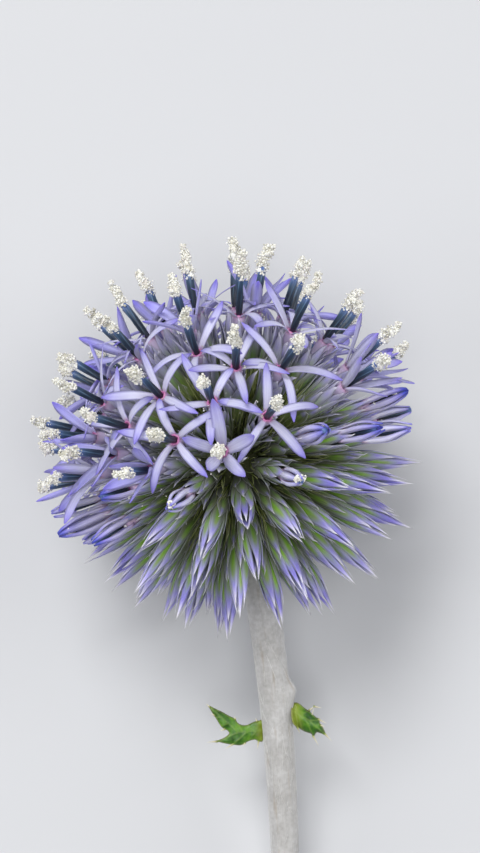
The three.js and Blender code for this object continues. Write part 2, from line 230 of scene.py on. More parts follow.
RELAX_STEPS, RELAX_GAIN, RELAX_LIMIT = 60, 0.02, 0.03


def from_angles(polar, turn):
    """A direction by its angle from the crown and its turn round the axis from the upper side."""
    p, t = np.radians(polar), np.radians(turn)
    return np.stack([np.sin(p) * np.sin(t), -np.sin(p) * np.cos(t), np.cos(p) + 0 * t], -1)


def place_capitula():
    """A golden-angle spiral from crown to stem, eased apart round the capitula with a set place."""
    i = np.arange(CAPITULA)
    polar = np.degrees(np.arccos(1 - (2 * i + 1) / CAPITULA))
    places = from_angles(np.minimum(polar, STEM_CLEARANCE), np.degrees(i * GOLDEN_ANGLE))
    settled = [(DOWN, ())] + [(from_angles(*row[:2]), row[2:]) for row in SET_PLACES]
    pinned = {}
    for place, given in settled:
        order = np.argsort(np.linalg.norm(places - place, axis=1), kind="stable")
        nearest = next(int(j) for j in order if int(j) not in pinned)
        places[nearest] = place
        pinned[nearest] = given
    free = np.array([j not in pinned for j in range(CAPITULA)])
    spacing = math.sqrt(2 * TURN / CAPITULA / math.sin(math.radians(60)))
    for _ in range(RELAX_STEPS):
        away = places[:, None, :] - places[None, :, :]
        gap = np.linalg.norm(away, axis=2)
        np.fill_diagonal(gap, np.inf)
        strength = np.where(gap > 2 * spacing, 0, (spacing / gap) ** 4 / gap)
        push = (away * strength[:, :, None]).sum(1)
        push -= places * (push * places).sum(1, keepdims=True)
        push *= RELAX_GAIN
        length = np.linalg.norm(push, axis=1, keepdims=True)
        push *= np.minimum(1, RELAX_LIMIT / np.maximum(length, 1e-12))
        moved = places + push
        moved /= np.linalg.norm(moved, axis=1, keepdims=True)
        polar = np.degrees(np.arccos(moved[:, 2]))
        turn = np.degrees(np.arctan2(moved[:, 0], -moved[:, 1]))
        moved = from_angles(np.minimum(polar, STEM_CLEARANCE), turn)
        places[free] = moved[free]
    bare = {int(np.linalg.norm(places - from_angles(*row), axis=1).argmin()) for row in BARE_PLACES}
    return [(j, places[j], pinned.get(j)) for j in range(CAPITULA) if j not in bare]


def draws_from(seed):
    """Draws between two numbers, the same each time for the same seed."""
    modulus, multiplier = 2147483647, 16807
    state = (seed * 7919 * multiplier) % modulus

    def draw(low, high):
        nonlocal state
        state = (state * multiplier) % modulus
        return low + (high - low) * (state - 1) / (modulus - 1)

    return draw


OPEN_TO, OPEN_FURTHER = 90, 7  # degrees from the crown to the last open florets, and its slant
OPENING_BAND = (-4, 13)  # degrees past that line where buds stand
PRESSED_TO, SHUT_TO, BUD_TO = 24, 30, 39  # degrees from straight down
LATE_SHARE, LATE_FROM, LATE_TURN = 0.1, 25, 70  # buds among the open: how many and where
HALF_OPEN_BAND = 10  # degrees above the line where lobes still stand half upright
SPREAD_OPEN, SPREAD_HALF = 78, 32


def unit(way):
    """The same direction at length 1."""
    return way / np.linalg.norm(way)


class Capitulum:
    """One small one-flowered head: its direction, how far it has opened and how its lobes stand."""

    def __init__(self, index, direction, given):
        self.direction = direction
        helper = (0, 0, 1) if abs(direction[2]) < 0.95 else (1, 0, 0)
        self.u = unit(np.cross(helper, direction))
        self.v = np.cross(direction, self.u)
        self.draw = draws_from(index + 1)
        self.any = random.Random(index + 500)
        polar = math.degrees(math.acos(direction[2]))
        turn = math.degrees(math.atan2(direction[0], -direction[1]))
        line = OPEN_TO - OPEN_FURTHER * math.sin(math.radians(turn))
        from_down = math.degrees(math.acos(min(1, float(direction @ DOWN))))
        drawn_late = self.draw(0, 1) < LATE_SHARE
        drawn_turn = self.draw(0, 360)
        late = drawn_late and polar > LATE_FROM and abs(turn) > LATE_TURN and given is None
        lobe_turn, spread = given if given else (drawn_turn, None)
        if spread is None:
            spread = SPREAD_HALF if polar > line - HALF_OPEN_BAND else SPREAD_OPEN
        self.loose = given is None
        self.twist, self.spread = math.radians(lobe_turn), math.radians(spread)
        self.stage = "open"
        if from_down < BUD_TO or polar > line + OPENING_BAND[0] or late:
            self.stage = "opening"
        if from_down < SHUT_TO or polar > line + OPENING_BAND[1]:
            self.stage = "closed"
        if from_down < PRESSED_TO:
            self.stage = "pressed"

    def sideways(self, turn):
        """The direction square to the axis at that turn round it."""
        return np.cos(turn) * self.u + np.sin(turn) * self.v

    def at(self, height, radius, turn):
        """Points by height along the capitulum's axis, distance from it and turn round it, in mm."""
        height, radius, turn = np.broadcast_arrays(height, radius, turn)
        return (
            height[..., None] * self.direction
            + (radius * np.cos(turn))[..., None] * self.u
            + (radius * np.sin(turn))[..., None] * self.v
        )


capitula = [Capitulum(*row) for row in place_capitula()]
open_capitula = sorted(
    (c for c in capitula if c.stage == "open"), key=lambda c: c.direction[2], reverse=True
)


class Growth:
    """Gathers the like parts of a piece in the flower's own frame, in mm, with the marks that its
    material reads: along a part, across it, its shade and its height above the ball's centre."""

    def __init__(self):
        self.points, self.faces, self.count = [], [], 0
        self.marks = {"along": [], "across": [], "shade": []}

    def add(self, points, faces, along, across, shade):
        points = np.asarray(points).reshape(-1, 3)
        self.faces.extend(tuple(self.count + i for i in face) for face in faces)
        self.points.append(points)
        self.count += len(points)
        for name, value in (("along", along), ("across", across), ("shade", shade)):
            self.marks[name].append(np.broadcast_to(value, len(points)).astype(float))

    def skin(self, rings, along, across, shade, tip=None):
        """A closed skin over rings of points, each anticlockwise about the way it grows, with a
        flat foot, and a flat end or a tip."""
        stations, sides = rings.shape[:2]
        faces = []
        for i in range(stations - 1):
            for k in range(sides):
                a, b = i * sides + k, i * sides + (k + 1) % sides
                faces.append((a, b, b + sides, a + sides))
        faces.append(tuple(range(sides))[::-1])
        last = (stations - 1) * sides
        points = rings.reshape(-1, 3)
        along = np.repeat(np.asarray(along, float), sides)
        across = np.tile(np.broadcast_to(np.asarray(across, float), sides), stations)
        if tip is None:
            faces.append(tuple(range(last, last + sides)))
        else:
            faces += [(last + k, last + (k + 1) % sides, last + sides) for k in range(sides)]
            points = np.vstack([points, tip])
            along, across = np.append(along, 1.0), np.append(across, 0.0)
        self.add(points, faces, along, across, shade)

    def piece(self, name, material):
        """The finished mesh where the flower lies, with whatever would sink in pressed flat."""
        local = np.vstack(self.points)
        row = local @ TO_ROW.T + np.array(ball_centre)
        row[:, 2] = np.maximum(row[:, 2], PRESSED)
        mesh = bpy.data.meshes.new(name)
        mesh.from_pydata((row * MM).tolist(), [], self.faces)
        marks = {k: np.concatenate(v) for k, v in self.marks.items()}
        marks["height"] = np.linalg.norm(local, axis=1) / BRACT_TIP_RADIUS
        for key, values in marks.items():
            mesh.attributes.new(key, "FLOAT", "POINT").data.foreach_set("value", values)
        mesh.shade_smooth()
        mesh.materials.append(material)
        return put_in_scene(name, mesh)


def mark(tree, name):
    """What a mesh says at each point under that name."""
    return join(tree, "ShaderNodeAttribute", attribute_name=name).outputs["Fac"]


def ramp(tree, factor, *stops):
    """A colour by a mark. Each stop is a position and the screen values there."""
    node = join(tree, "ShaderNodeValToRGB", {"Fac": factor})
    elements = node.color_ramp.elements
    while len(elements) < len(stops):
        elements.new(0.5)
    for element, (position, *colour) in zip(elements, stops):
        element.position, element.color = position, paint(*colour)
    return node.outputs["Color"]


def band(tree, value, start, end):
    """0 up to start, 1 from end on and smooth between. Start may be the higher, and 1 lies below then."""
    inputs = {"Value": value, "From Min": start, "From Max": end}
    kind = "SMOOTHSTEP"
    return join(tree, "ShaderNodeMapRange", inputs, interpolation_type=kind).outputs["Result"]


def sums(tree, operation, first, second=0.0):
    """One step of arithmetic on masks and numbers."""
    return join(tree, "ShaderNodeMath", {0: first, 1: second}, operation=operation).outputs[0]


def times(tree, product, *factors):
    """Masks and numbers multiplied together."""
    for factor in factors:
        product = sums(tree, "MULTIPLY", product, factor)
    return product


DARK_FROM = 0.3


def darken(tree, share, colour, mask, tone, clear_from):
    """A colour multiplied by a tone where the mask is low, and left as it is where it is high."""
    tones = ramp(tree, mask, (DARK_FROM, *tone), (clear_from, 255, 255, 255))
    return blend(tree, share, colour, tones, "MULTIPLY")


# The fine fibres that run along every bract, lobe, anther and stem: light and dark streaks, long
# one way and narrow the other, different on each part.
PARTS_APART = 57.0  # in the noise, so that no two parts share their streaks
fibres = bpy.data.node_groups.new("fibres", "ShaderNodeTree")
for name in ("Along", "Across", "Shade", "Length", "Count"):
    fibres.interface.new_socket(name, in_out="INPUT", socket_type="NodeSocketFloat")
fibres.interface.new_socket("Streaks", in_out="OUTPUT", socket_type="NodeSocketFloat")
entry = fibres.nodes.new("NodeGroupInput").outputs
spread_out = join(
    fibres,
    "ShaderNodeCombineXYZ",
    {
        "X": times(fibres, entry["Along"], entry["Length"]),
        "Y": times(fibres, entry["Across"], entry["Count"]),
        "Z": times(fibres, entry["Shade"], PARTS_APART),
    },
)
grain = mottle(fibres, 1.0, 3.0, Vector=spread_out.outputs["Vector"])
join(fibres, "NodeGroupOutput", {"Streaks": grain})


def streaks(tree, length, count):
    """The fibres of this material, by how many there are along and across a part."""
    inputs = {key: mark(tree, key.lower()) for key in ("Along", "Across", "Shade")}
    inputs.update(Length=length, Count=count)
    return join(tree, "ShaderNodeGroup", inputs, node_tree=fibres).outputs["Streaks"]


def relief(tree, height, strength, depth):
    """A fine relief in the surface, depth in metres."""
    inputs = {"Height": height, "Strength": strength, "Distance": depth}
    return join(tree, "ShaderNodeBump", inputs).outputs["Normal"]


def grow_ball(growth, centre, radius_towards, stations, sides, margin, shade):
    """A lumpy closed ball. Its radius depends on the direction, and margin is the angle that its
    flat top and foot take up."""
    rings = []
    for polar in np.linspace(margin, math.pi - margin, stations):
        turns = -TURN * np.arange(sides) / sides
        out, level = math.sin(polar), np.full(sides, math.cos(polar))
        ways = np.stack([out * np.cos(turns), out * np.sin(turns), level], axis=1)
        rings.append([centre + way * radius_towards(way) for way in ways])
    growth.skin(np.array(rings), np.linspace(0, 1, stations), 0.0, shade)


CORE_STATIONS, CORE_SIDES, CORE_MARGIN = 24, 48, 0.04
CORE_LUMP, CORE_LUMPS = 0.25, 9  # mm high, and how close together


def core_radius(way):
    return CORE_RADIUS + CORE_LUMP * noise.noise(Vector(way) * CORE_LUMPS)


core_growth = Growth()
grow_ball(core_growth, np.zeros(3), core_radius, CORE_STATIONS, CORE_SIDES, CORE_MARGIN, 0.5)

core_finish, tree = new_material("receptacle_flesh")
flecks = mottle(tree, 900.0, 4.0)
dress(
    tree,
    {
        "Base Color": ramp(tree, flecks, (0.35, 38, 40, 22), (0.65, 78, 84, 44)),
        "Roughness": 0.85,
        "Normal": relief(tree, flecks, 0.6, 0.0003),
    },
)
receptacle = core_growth.piece("receptacle", core_finish)
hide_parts("involucres")
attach(receptacle, "root")

# ---- Bracts
# Slim overlapping bracts, thin and papery, that grow from the foot of each capitulum: four ranks
# wrap its floret, and a few outside them spread. Green below, lavender above, with needle tips.

PROFILES = {  # stage: heights, and the radius of the wrapped bracts at each, in mm
    "pressed": ((5, 8, 11, 13.5, 15.5, 17.5, 19.5, 21), (0.45, 0.75, 1.0, 1.15, 1.1, 0.9, 0.65, 0.3)),
    "closed": ((5, 8, 11, 13.5, 15.5, 17.5, 19.5, 21), (0.45, 0.75, 1.0, 1.12, 1.05, 0.78, 0.36, 0.1)),
    "opening": ((5, 8, 11, 13.5, 15.5, 17, 18.5), (0.45, 0.75, 0.98, 1.05, 0.95, 0.95, 1.05)),
    "open": ((5, 8, 11, 13.5, 15, 16.5, 17.5), (0.45, 0.7, 0.9, 0.95, 0.92, 1.1, 1.3)),
}
RANKS = [  # bracts, foot, how far out from the wrap, half width, flare at the tip
    (5, 6.3, 0.20, 0.62, 0.26),
    (5, 7.2, 0.12, 0.80, 0.16),
    (4, 8.2, 0.04, 0.86, 0.10),
    (4, 9.0, -0.06, 0.72, 0.04),
]
RANK_TIPS = {  # stage: where the tips of each rank are
    "pressed": ((11.0, 12.6), (14.4, 16.4), (17.6, 19.4), (19.6, 21.2)),
    "closed": ((11.0, 12.8), (14.4, 16.8), (17.6, 19.8), (19.8, 21.3)),
    "opening": ((10.6, 12.2), (13.4, 15.2), (15.8, 17.4), (17.2, 18.8)),
    "open": ((10.6, 12.4), (13.4, 15.2), (15.2, 16.8), (16.0, 17.4)),
}
SPREADING = [(60, 5, (14.8, 17.2)), (104, 4, (12.2, 15.4))]  # up to degrees from the crown: how many, tips
SPREADING_FOOT, SPREADING_OUT, SPREADING_HALF_WIDTH = 7.8, 0.3, 0.9
BRACT_STATIONS = np.array([0.0, 0.18, 0.36, 0.54, 0.7, 0.83, 0.93])
BRACT_WIDTHS = np.array([0.5, 0.8, 1.0, 0.97, 0.72, 0.36, 0.12])
BROAD_WIDTHS = np.array([0.5, 0.8, 1.0, 1.0, 0.9, 0.62, 0.28])  # round an open floret
BRACT_THICKNESS, BRACT_THINNING = 0.12, 0.35  # mm at the foot, and the share left at the tip
BRACT_SHOULDER = 0.45  # from the midrib to the edge
LEAST_WRAP, LEAST_TIP = 0.12, 0.02  # mm from the capitulum's axis

bract_growth = Growth()
spreading_any = random.Random(29)


def grow_bract(capitulum, any_, turn, foot, tip, offset, half_width, flare):
    """One lanceolate bract, keeled on its back, that bends round the capitulum it wraps."""
    profile = PROFILES[capitulum.stage]
    along = BRACT_STATIONS
    height = foot + (tip - foot) * along
    radius = np.maximum(np.interp(height, *profile) + offset + flare * along**3, LEAST_WRAP)
    widths = half_width * (BROAD_WIDTHS if capitulum.stage == "open" else BRACT_WIDTHS)
    half_turn = np.minimum(widths / radius, 1.3)
    bend = turn + any_.uniform(-0.12, 0.12) * along**2
    thick = BRACT_THICKNESS * np.linspace(1, BRACT_THINNING, len(along))
    edge = radius - 0.06 * widths
    rings = np.stack(
        [
            capitulum.at(height, edge, bend - half_turn),
            capitulum.at(height, radius + 0.5 * thick, bend - BRACT_SHOULDER * half_turn),
            capitulum.at(height, radius + 0.5 * thick, bend + BRACT_SHOULDER * half_turn),
            capitulum.at(height, edge, bend + half_turn),
            capitulum.at(height, radius - 0.4 * thick, bend),
        ],
        axis=1,
    )
    tip_radius = np.interp(tip, *profile) + offset + flare * 1.15
    end = capitulum.at(tip, max(tip_radius, LEAST_TIP), bend[-1] + any_.uniform(-0.2, 0.2))
    shade = 0.5 * any_.random() + (0 if capitulum.stage == "open" else 0.5)
    bract_growth.skin(rings, along, (-1, -BRACT_SHOULDER, BRACT_SHOULDER, 1, 0), shade, end)


for capitulum in capitula:
    any_ = capitulum.any
    start = any_.uniform(0, TURN)
    stature = any_.uniform(-0.5, 0.25)
    for rank, (count, foot, offset, half_width, flare) in enumerate(RANKS):
        for k in range(count):
            turn = start + TURN * (k + 0.5 * (rank % 2)) / count + any_.uniform(-0.15, 0.15)
            tip = any_.uniform(*RANK_TIPS[capitulum.stage][rank]) + stature * rank / 3
            bend = flare * any_.uniform(0.5, 1.4)
            width = half_width * any_.uniform(0.85, 1.1)
            grow_bract(capitulum, any_, turn, foot, tip, offset, width, bend)
    from_crown = math.degrees(math.acos(capitulum.direction[2]))
    count, tips = next(((n, tips) for reach, n, tips in SPREADING if from_crown < reach), (0, None))
    for k in range(count):
        turn = start + TURN * (k + spreading_any.uniform(0.1, 0.6)) / count
        tip, bend = spreading_any.uniform(*tips), spreading_any.uniform(0.4, 1.1)
        place = (turn, SPREADING_FOOT, tip, SPREADING_OUT)
        grow_bract(capitulum, spreading_any, *place, SPREADING_HALF_WIDTH, bend)


def lit_through(weight, radius, scale):
    """The inputs of thin tissue, which lets some light through."""
    return {"Subsurface Weight": weight, "Subsurface Radius": radius, "Subsurface Scale": scale}


bract_finish, tree = new_material("papery_bract")
along, height = mark(tree, "along"), mark(tree, "height")
edge = sums(tree, "ABSOLUTE", mark(tree, "across"))
fibre = streaks(tree, 3.0, 5.0)
side_colour = ramp(
    tree,
    along,
    (0.0, 44, 48, 26),
    (0.26, 84, 97, 64),
    (0.42, 126, 141, 124),
    (0.58, 146, 156, 160),
    (0.7, 162, 163, 208),
    (0.83, 188, 183, 245),
    (0.95, 250, 249, 254),
)
midrib_colour = ramp(
    tree,
    along,
    (0.0, 50, 64, 16),
    (0.3, 84, 118, 26),
    (0.54, 126, 176, 46),
    (0.66, 146, 172, 104),
    (0.78, 160, 151, 232),
    (0.95, 246, 243, 253),
)
midrib = times(tree, band(tree, edge, 0.55, 0.10), band(tree, fibre, 0.22, 0.5))
low = band(tree, height, 0.86, 0.58)
low_colour = ramp(tree, height, (0.56, 104, 114, 62), (0.7, 134, 147, 120), (0.84, 150, 160, 162))
side_colour = blend(tree, times(tree, low, 0.85), side_colour, low_colour)
colour = blend(tree, midrib, side_colour, midrib_colour)
upper_half = times(tree, band(tree, height, 0.7, 0.86), band(tree, along, 0.5, 0.7))
patches = times(tree, band(tree, mottle(tree, 6.0, 0.0), 0.48, 0.58), upper_half)
vivid = times(tree, patches, band(tree, along, 0.93, 0.8), 0.65)
colour = blend(tree, vivid, colour, (122, 110, 220))
round_open = sums(tree, "LESS_THAN", mark(tree, "shade"), 0.5)
# Deep in the ball, less than about 13 mm from its centre, the bracts round open florets take a brighter
# green of their own. Those of shut capitula take a dark olive, which is painted shade in the gaps between
# them.
deep_green_and_painted_shade = blend(tree, round_open, (50, 54, 28), (132, 148, 78))
colour = blend(tree, times(tree, band(tree, height, 0.62, 0.4), 0.85), colour, deep_green_and_painted_shade)
margin = times(tree, band(tree, edge, 0.8, 1.0), band(tree, along, 0.2, 0.8), 0.8)
colour = blend(tree, margin, colour, (224, 226, 232))
colour = darken(tree, 0.4, colour, fibre, (172, 172, 176), 0.7)
upper = times(tree, round_open, band(tree, height, 0.5, 0.72), 0.55)
colour = blend(tree, upper, colour, (184, 181, 208))
bruises = times(tree, band(tree, mottle(tree, 700.0, 2.0), 0.62, 0.75), 0.3)
colour = blend(tree, bruises, colour, (126, 112, 172))
dress(
    tree,
    {
        "Base Color": colour,
        "Roughness": 0.55,
        **lit_through(0.12, (0.8, 1.0, 0.6), 0.0004),
        "Sheen Weight": 0.15,
        "Normal": relief(tree, fibre, 0.4, 0.00006),
    },
)
bracts = bract_growth.piece("bracts", bract_finish)
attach(bracts, "root")

# ---- Bristles
# Ragged yellow-green bristles that stand round the foot of every capitulum, outside its bracts,
# and fill the gaps deep in the ball.

BRISTLES, DEEP_BRISTLES = 13, 1500  # round each capitulum, and between them deep in the ball
BRISTLE_RING = 1.1  # mm from a capitulum's axis to the feet
DEEP_FOOT = 6.9  # mm from the ball's centre
bristle_any = random.Random(12)
bristle_growth = Growth()


def any_way(any_):
    return unit(np.array([any_.gauss(0, 1) for _ in range(3)]))


def rings_round(path, side, across, girths, sides):
    """Round rings of points along a path, one for each girth."""
    turns = np.arange(sides) * TURN / sides
    spokes = [side * math.cos(turn) + across * math.sin(turn) for turn in turns]
    return np.stack([path + np.array(girths)[:, None] * spoke for spoke in spokes], axis=1)


def grow_bristle(start, end, girth):
    """A thin three-sided bristle, bowed a little, that ends in a point."""
    ahead = unit(end - start)
    side = unit(np.cross(ahead, any_way(bristle_any)))
    along = np.array([0.0, 0.4, 0.75])
    bow = bristle_any.uniform(-0.35, 0.35) * np.sin(math.pi * along)
    path = start + (end - start) * along[:, None] + side * bow[:, None]
    girths = girth * np.array([1.0, 0.8, 0.5])
    rings = rings_round(path, side, np.cross(ahead, side), girths, 3)
    bristle_growth.skin(rings, along, 0.0, bristle_any.random(), end)


for capitulum in capitula:
    for _ in range(BRISTLES):
        turn = bristle_any.uniform(0, TURN)
        foot, length = bristle_any.uniform(6.8, 8.4), bristle_any.uniform(2.2, 4.6)
        out = length * bristle_any.uniform(0.08, 0.36)
        start = capitulum.at(foot, BRISTLE_RING, turn)
        end = capitulum.at(foot + length, BRISTLE_RING + out, turn + bristle_any.uniform(-0.4, 0.4))
        grow_bristle(start, end, bristle_any.uniform(0.05, 0.09))
for _ in range(DEEP_BRISTLES):
    way = any_way(bristle_any)
    end = way * bristle_any.uniform(9.5, 13.0) + any_way(bristle_any) * 0.9
    grow_bristle(way * DEEP_FOOT, end, bristle_any.uniform(0.06, 0.13))

bristle_finish, tree = new_material("ragged_bristle")
along, shade = mark(tree, "along"), mark(tree, "shade")
colour = blend(
    tree,
    band(tree, along, 0.1, 0.9),
    ramp(tree, shade, (0.0, 116, 134, 52), (0.6, 146, 162, 72), (1.0, 98, 112, 56)),
    ramp(tree, shade, (0.0, 142, 152, 84), (0.5, 176, 180, 128), (1.0, 122, 130, 88)),
)
dress(tree, {"Base Color": colour, "Roughness": 0.6})
bristles = bristle_growth.piece("bristles", bristle_finish)
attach(bristles, "root")

# ---- Corollas
# The lilac corolla of each open floret: a slim tube that swells below a pink throat, and five
# thin linear lobes that spread and curl, each pale lilac with violet edges and tip.

LOBE_LENGTH, LOBE_HALF = 5.2, 2.7  # mm of the solid lobe, to its tip and to its bend
SOLID_RIM = 0.8  # mm from the axis to the solid lobe's root
FINE_LOBE = 1.2  # how much longer a thin lobe is than the solid one that stands for it
LOBE_CURL = math.radians(14)
LOBE_ROOT = (THROAT_RADIUS - 0.25, 0.44)  # height, radius
SPREAD_STEP, SPREAD_LEAST = math.radians(4), math.radians(16)
UPRIGHT = math.radians(50)  # the lobes of a corolla that spreads less are broad and hollow
NEEDLE_FROM, NEEDLE_TIP, NEEDLE_RADIUS = 18.6, 22, 1.45  # of a capitulum that is still shut
CLEAR_OF_NEEDLE = 0.75
OPEN_INVOLUCRE_DRAWS = 5
LOBE_STATIONS = 11
LOBE_THICKNESS = np.linspace(0.16, 0.08, LOBE_STATIONS)
LOBE_WIDTHS = 0.51 * np.interp(  # half widths: narrow at the root, widest past the middle, blunt
    np.linspace(0, 1, LOBE_STATIONS),
    (0, 0.15, 0.4, 0.65, 0.85, 0.95, 1),
    (0.6, 0.76, 1, 1, 0.84, 0.48, 0.2),
)
TUBE = [  # height, radius, up the outside of the tube and down into the throat
    (12.6, 0.38),
    (14.2, 0.50),
    (15.2, 0.62),
    (15.9, 0.70),
    (16.4, 0.69),
    (16.7, 0.61),
    (16.85, 0.51),
    (16.8, 0.42),
    (16.5, 0.34),
    (16.2, 0.28),
]
TUBE_TURNS = np.arange(20) * TURN / 20
FLUTING = 0.10

shut = [c for c in capitula if c.stage != "open"]
shut_ways = np.array([c.direction for c in shut])


def clear_of_needles(point):
    """Whether a point of a lobe's middle line is clear of every capitulum that is still shut."""
    height = shut_ways @ point
    off = np.linalg.norm(point - height[:, None] * shut_ways, axis=1)
    taper = np.clip((NEEDLE_TIP - height) / (NEEDLE_TIP - NEEDLE_FROM), 0, 1)
    beyond = (height < 0) | (height > NEEDLE_TIP + 0.5)
    return bool(np.all(beyond | (off > NEEDLE_RADIUS * taper + CLEAR_OF_NEEDLE)))


def settle_spread(capitulum, heading):
    """How far a free lobe spreads, how much it curls and how long it is."""
    length = LOBE_LENGTH * capitulum.draw(0.88, 1.06)
    curl = LOBE_CURL * capitulum.draw(-1, 1)
    spread = capitulum.spread + math.radians(capitulum.draw(-12, 8))
    while True:
        bend = spread + curl
        middle = capitulum.direction * (THROAT_RADIUS + LOBE_HALF * math.cos(spread))
        middle += heading * (SOLID_RIM + LOBE_HALF * math.sin(spread))
        rest = length - LOBE_HALF
        end = middle + rest * (math.cos(bend) * capitulum.direction + math.sin(bend) * heading)
        clear = all(clear_of_needles(point) for point in (middle, (middle + end) / 2, end))
        if clear or spread < SPREAD_LEAST:
            return spread, curl, length
        spread -= SPREAD_STEP


def grow_ribbon(growth, path, upward, half_widths, thickness, roll, shade, channel=0.12):
    """A thin strip along a path, a little hollow on its upper face, that ends in a blunt tip."""
    ahead = np.gradient(path, axis=0)
    ahead /= np.linalg.norm(ahead, axis=1, keepdims=True)
    normal = upward - ahead * (ahead @ upward)[:, None]
    normal /= np.linalg.norm(normal, axis=1, keepdims=True)
    side = np.cross(normal, ahead)
    c, s = np.cos(roll)[:, None], np.sin(roll)[:, None]
    side, normal = side * c + normal * s, normal * c - side * s
    w, t = half_widths[:, None], thickness[:, None]
    rings = np.stack(
        [
            path + side * w,
            path + side * w * 0.5 + normal * (t * 0.5 - channel * w * 0.7),
            path + normal * (t * 0.5 - channel * w),
            path - side * w * 0.5 + normal * (t * 0.5 - channel * w * 0.7),
            path - side * w,
            path - normal * (t * 0.5 + channel * w),
        ],
        axis=1,
    )
    along = np.linspace(0, 0.985, len(path))
    growth.skin(rings, along, (1, 0.5, 0, -0.5, -1, 0), shade, path[-1] + ahead[-1] * 0.12)


corolla_growth = Growth()


def grow_free_lobe(capitulum, turn, heading):
    """A lobe that leaves the throat half upright and bends out to its own spread."""
    any_ = capitulum.any
    spread, curl, length = settle_spread(capitulum, heading)
    aside = np.cross(capitulum.direction, heading)
    length *= FINE_LOBE
    if capitulum.loose:
        spread *= any_.uniform(0.34, 0.8)
    along = np.linspace(0, 1, LOBE_STATIONS)
    first = min(spread, math.radians(58)) * 0.8
    last = spread + curl + (spread - first) * 0.35 + math.radians(any_.uniform(-10, 22))
    angle = first + (last - first) * np.clip(along * 1.5, 0, 1) ** 0.8
    sway = math.radians(any_.uniform(-26, 26)) * along**1.5
    step = length / (LOBE_STATIONS - 1)
    ways = (
        np.cos(angle)[:, None] * capitulum.direction
        + (np.sin(angle) * np.cos(sway))[:, None] * heading
        + (np.sin(angle) * np.sin(sway))[:, None] * aside
    )
    root = capitulum.at(*LOBE_ROOT, turn)
    path = root + np.vstack([np.zeros(3), np.cumsum(ways[:-1], axis=0)]) * step
    upward = capitulum.direction - 0.8 * heading
    twist = 55 if capitulum.loose else 35
    roll = math.radians(any_.uniform(-twist, twist)) * along**1.3
    upright = capitulum.loose or capitulum.spread < UPRIGHT
    widths = LOBE_WIDTHS * any_.uniform(0.9, 1.15) * (1.28 if upright else 1.0)
    hollow = 0.32 if upright else 0.12
    shade = 0.5 * any_.random() + (0.5 if capitulum.loose else 0)
    grow_ribbon(corolla_growth, path, upward, widths, LOBE_THICKNESS, roll, shade, hollow)


def grow_leaning_lobe(capitulum, turn, neighbour):
    """The lobe that reaches across and rests on the next floret's throat."""
    any_ = capitulum.any
    root = capitulum.at(*LOBE_ROOT, turn)
    end = neighbour.direction * (THROAT_RADIUS + 0.75)
    way = end - root
    end = end - 0.75 * unit(way)
    lift = capitulum.direction * np.linalg.norm(way) * 0.28
    t = np.linspace(0, 1, LOBE_STATIONS)[:, None]
    knee_a, knee_b = root + way * 0.2 + lift, root + way * 0.7 + lift * 0.8
    path = (1 - t) ** 3 * root + 3 * t * (1 - t) ** 2 * knee_a + 3 * t**2 * (1 - t) * knee_b + t**3 * end
    roll = math.radians(any_.uniform(-18, 18)) * t[:, 0] ** 1.6
    upward = capitulum.direction - 0.3 * unit(way)
    shade = 0.5 * any_.random() + (0.5 if capitulum.loose else 0)
    grow_ribbon(corolla_growth, path, upward, LOBE_WIDTHS, LOBE_THICKNESS, roll, shade)


def grow_tube(growth, capitulum, profile, depths, start, shade):
    """A tube fluted by shares of its radius. Its marks along run from -2 to -1, and a lobe's from 0."""
    rings = []
    for (height, radius), depth in zip(profile, depths):
        flutes = 1 + depth * np.cos(SIDES * (TUBE_TURNS - start))
        rings.append(capitulum.at(height, radius * flutes, TUBE_TURNS))
    growth.skin(np.array(rings), np.linspace(-2, -1, len(rings)), 0.0, shade)


for order, capitulum in enumerate(open_capitula):
    for _ in range(OPEN_INVOLUCRE_DRAWS):
        capitulum.draw(0, 1)
    nearer = open_capitula[:order]
    neighbour = min(
        nearer, key=lambda c: np.linalg.norm(c.direction - capitulum.direction), default=None
    )
    turns = [capitulum.twist + TURN * k / SIDES for k in range(SIDES)]
    headings = [capitulum.sideways(turn) for turn in turns]
    leaning = int(np.argmax([h @ neighbour.direction for h in headings])) if neighbour else None
    for k, (turn, heading) in enumerate(zip(turns, headings)):
        if k == leaning and capitulum.spread > UPRIGHT:
            grow_leaning_lobe(capitulum, turn, neighbour)
        elif k == leaning:  # the solid lobe leans and draws nothing, so this one stands half way
            held = capitulum.draw
            capitulum.draw = lambda low, high: (low + high) / 2
            grow_free_lobe(capitulum, turn, heading)
            capitulum.draw = held
        else:
            grow_free_lobe(capitulum, turn, heading)
    foot = TUBE[0][0]
    depths = [FLUTING * (height - foot) / (THROAT_RADIUS - foot) for height, _ in TUBE]
    grow_tube(corolla_growth, capitulum, TUBE, depths, capitulum.twist, capitulum.any.random())

corolla_finish, tree = new_material("corolla")
along, height = mark(tree, "along"), mark(tree, "height")
edge = sums(tree, "ABSOLUTE", mark(tree, "across"))
fibre = streaks(tree, 2.0, 6.0)
face = ramp(
    tree,
    along,
    (0.0, 210, 132, 180),
    (0.05, 210, 176, 212),
    (0.11, 212, 208, 236),
    (0.45, 206, 206, 238),
    (0.75, 187, 184, 237),
    (0.97, 132, 120, 224),
)
# A bluer, less white copy of the lobe colour for the loose lobes round the crown and the rim. It is
# painted light: the glow of light through these thin lobes, and their shade.
painted_glow_lobe_face = ramp(
    tree,
    along,
    (0.0, 200, 156, 196),
    (0.08, 198, 193, 240),
    (0.45, 190, 188, 254),
    (0.75, 174, 170, 254),
    (0.97, 122, 111, 230),
)
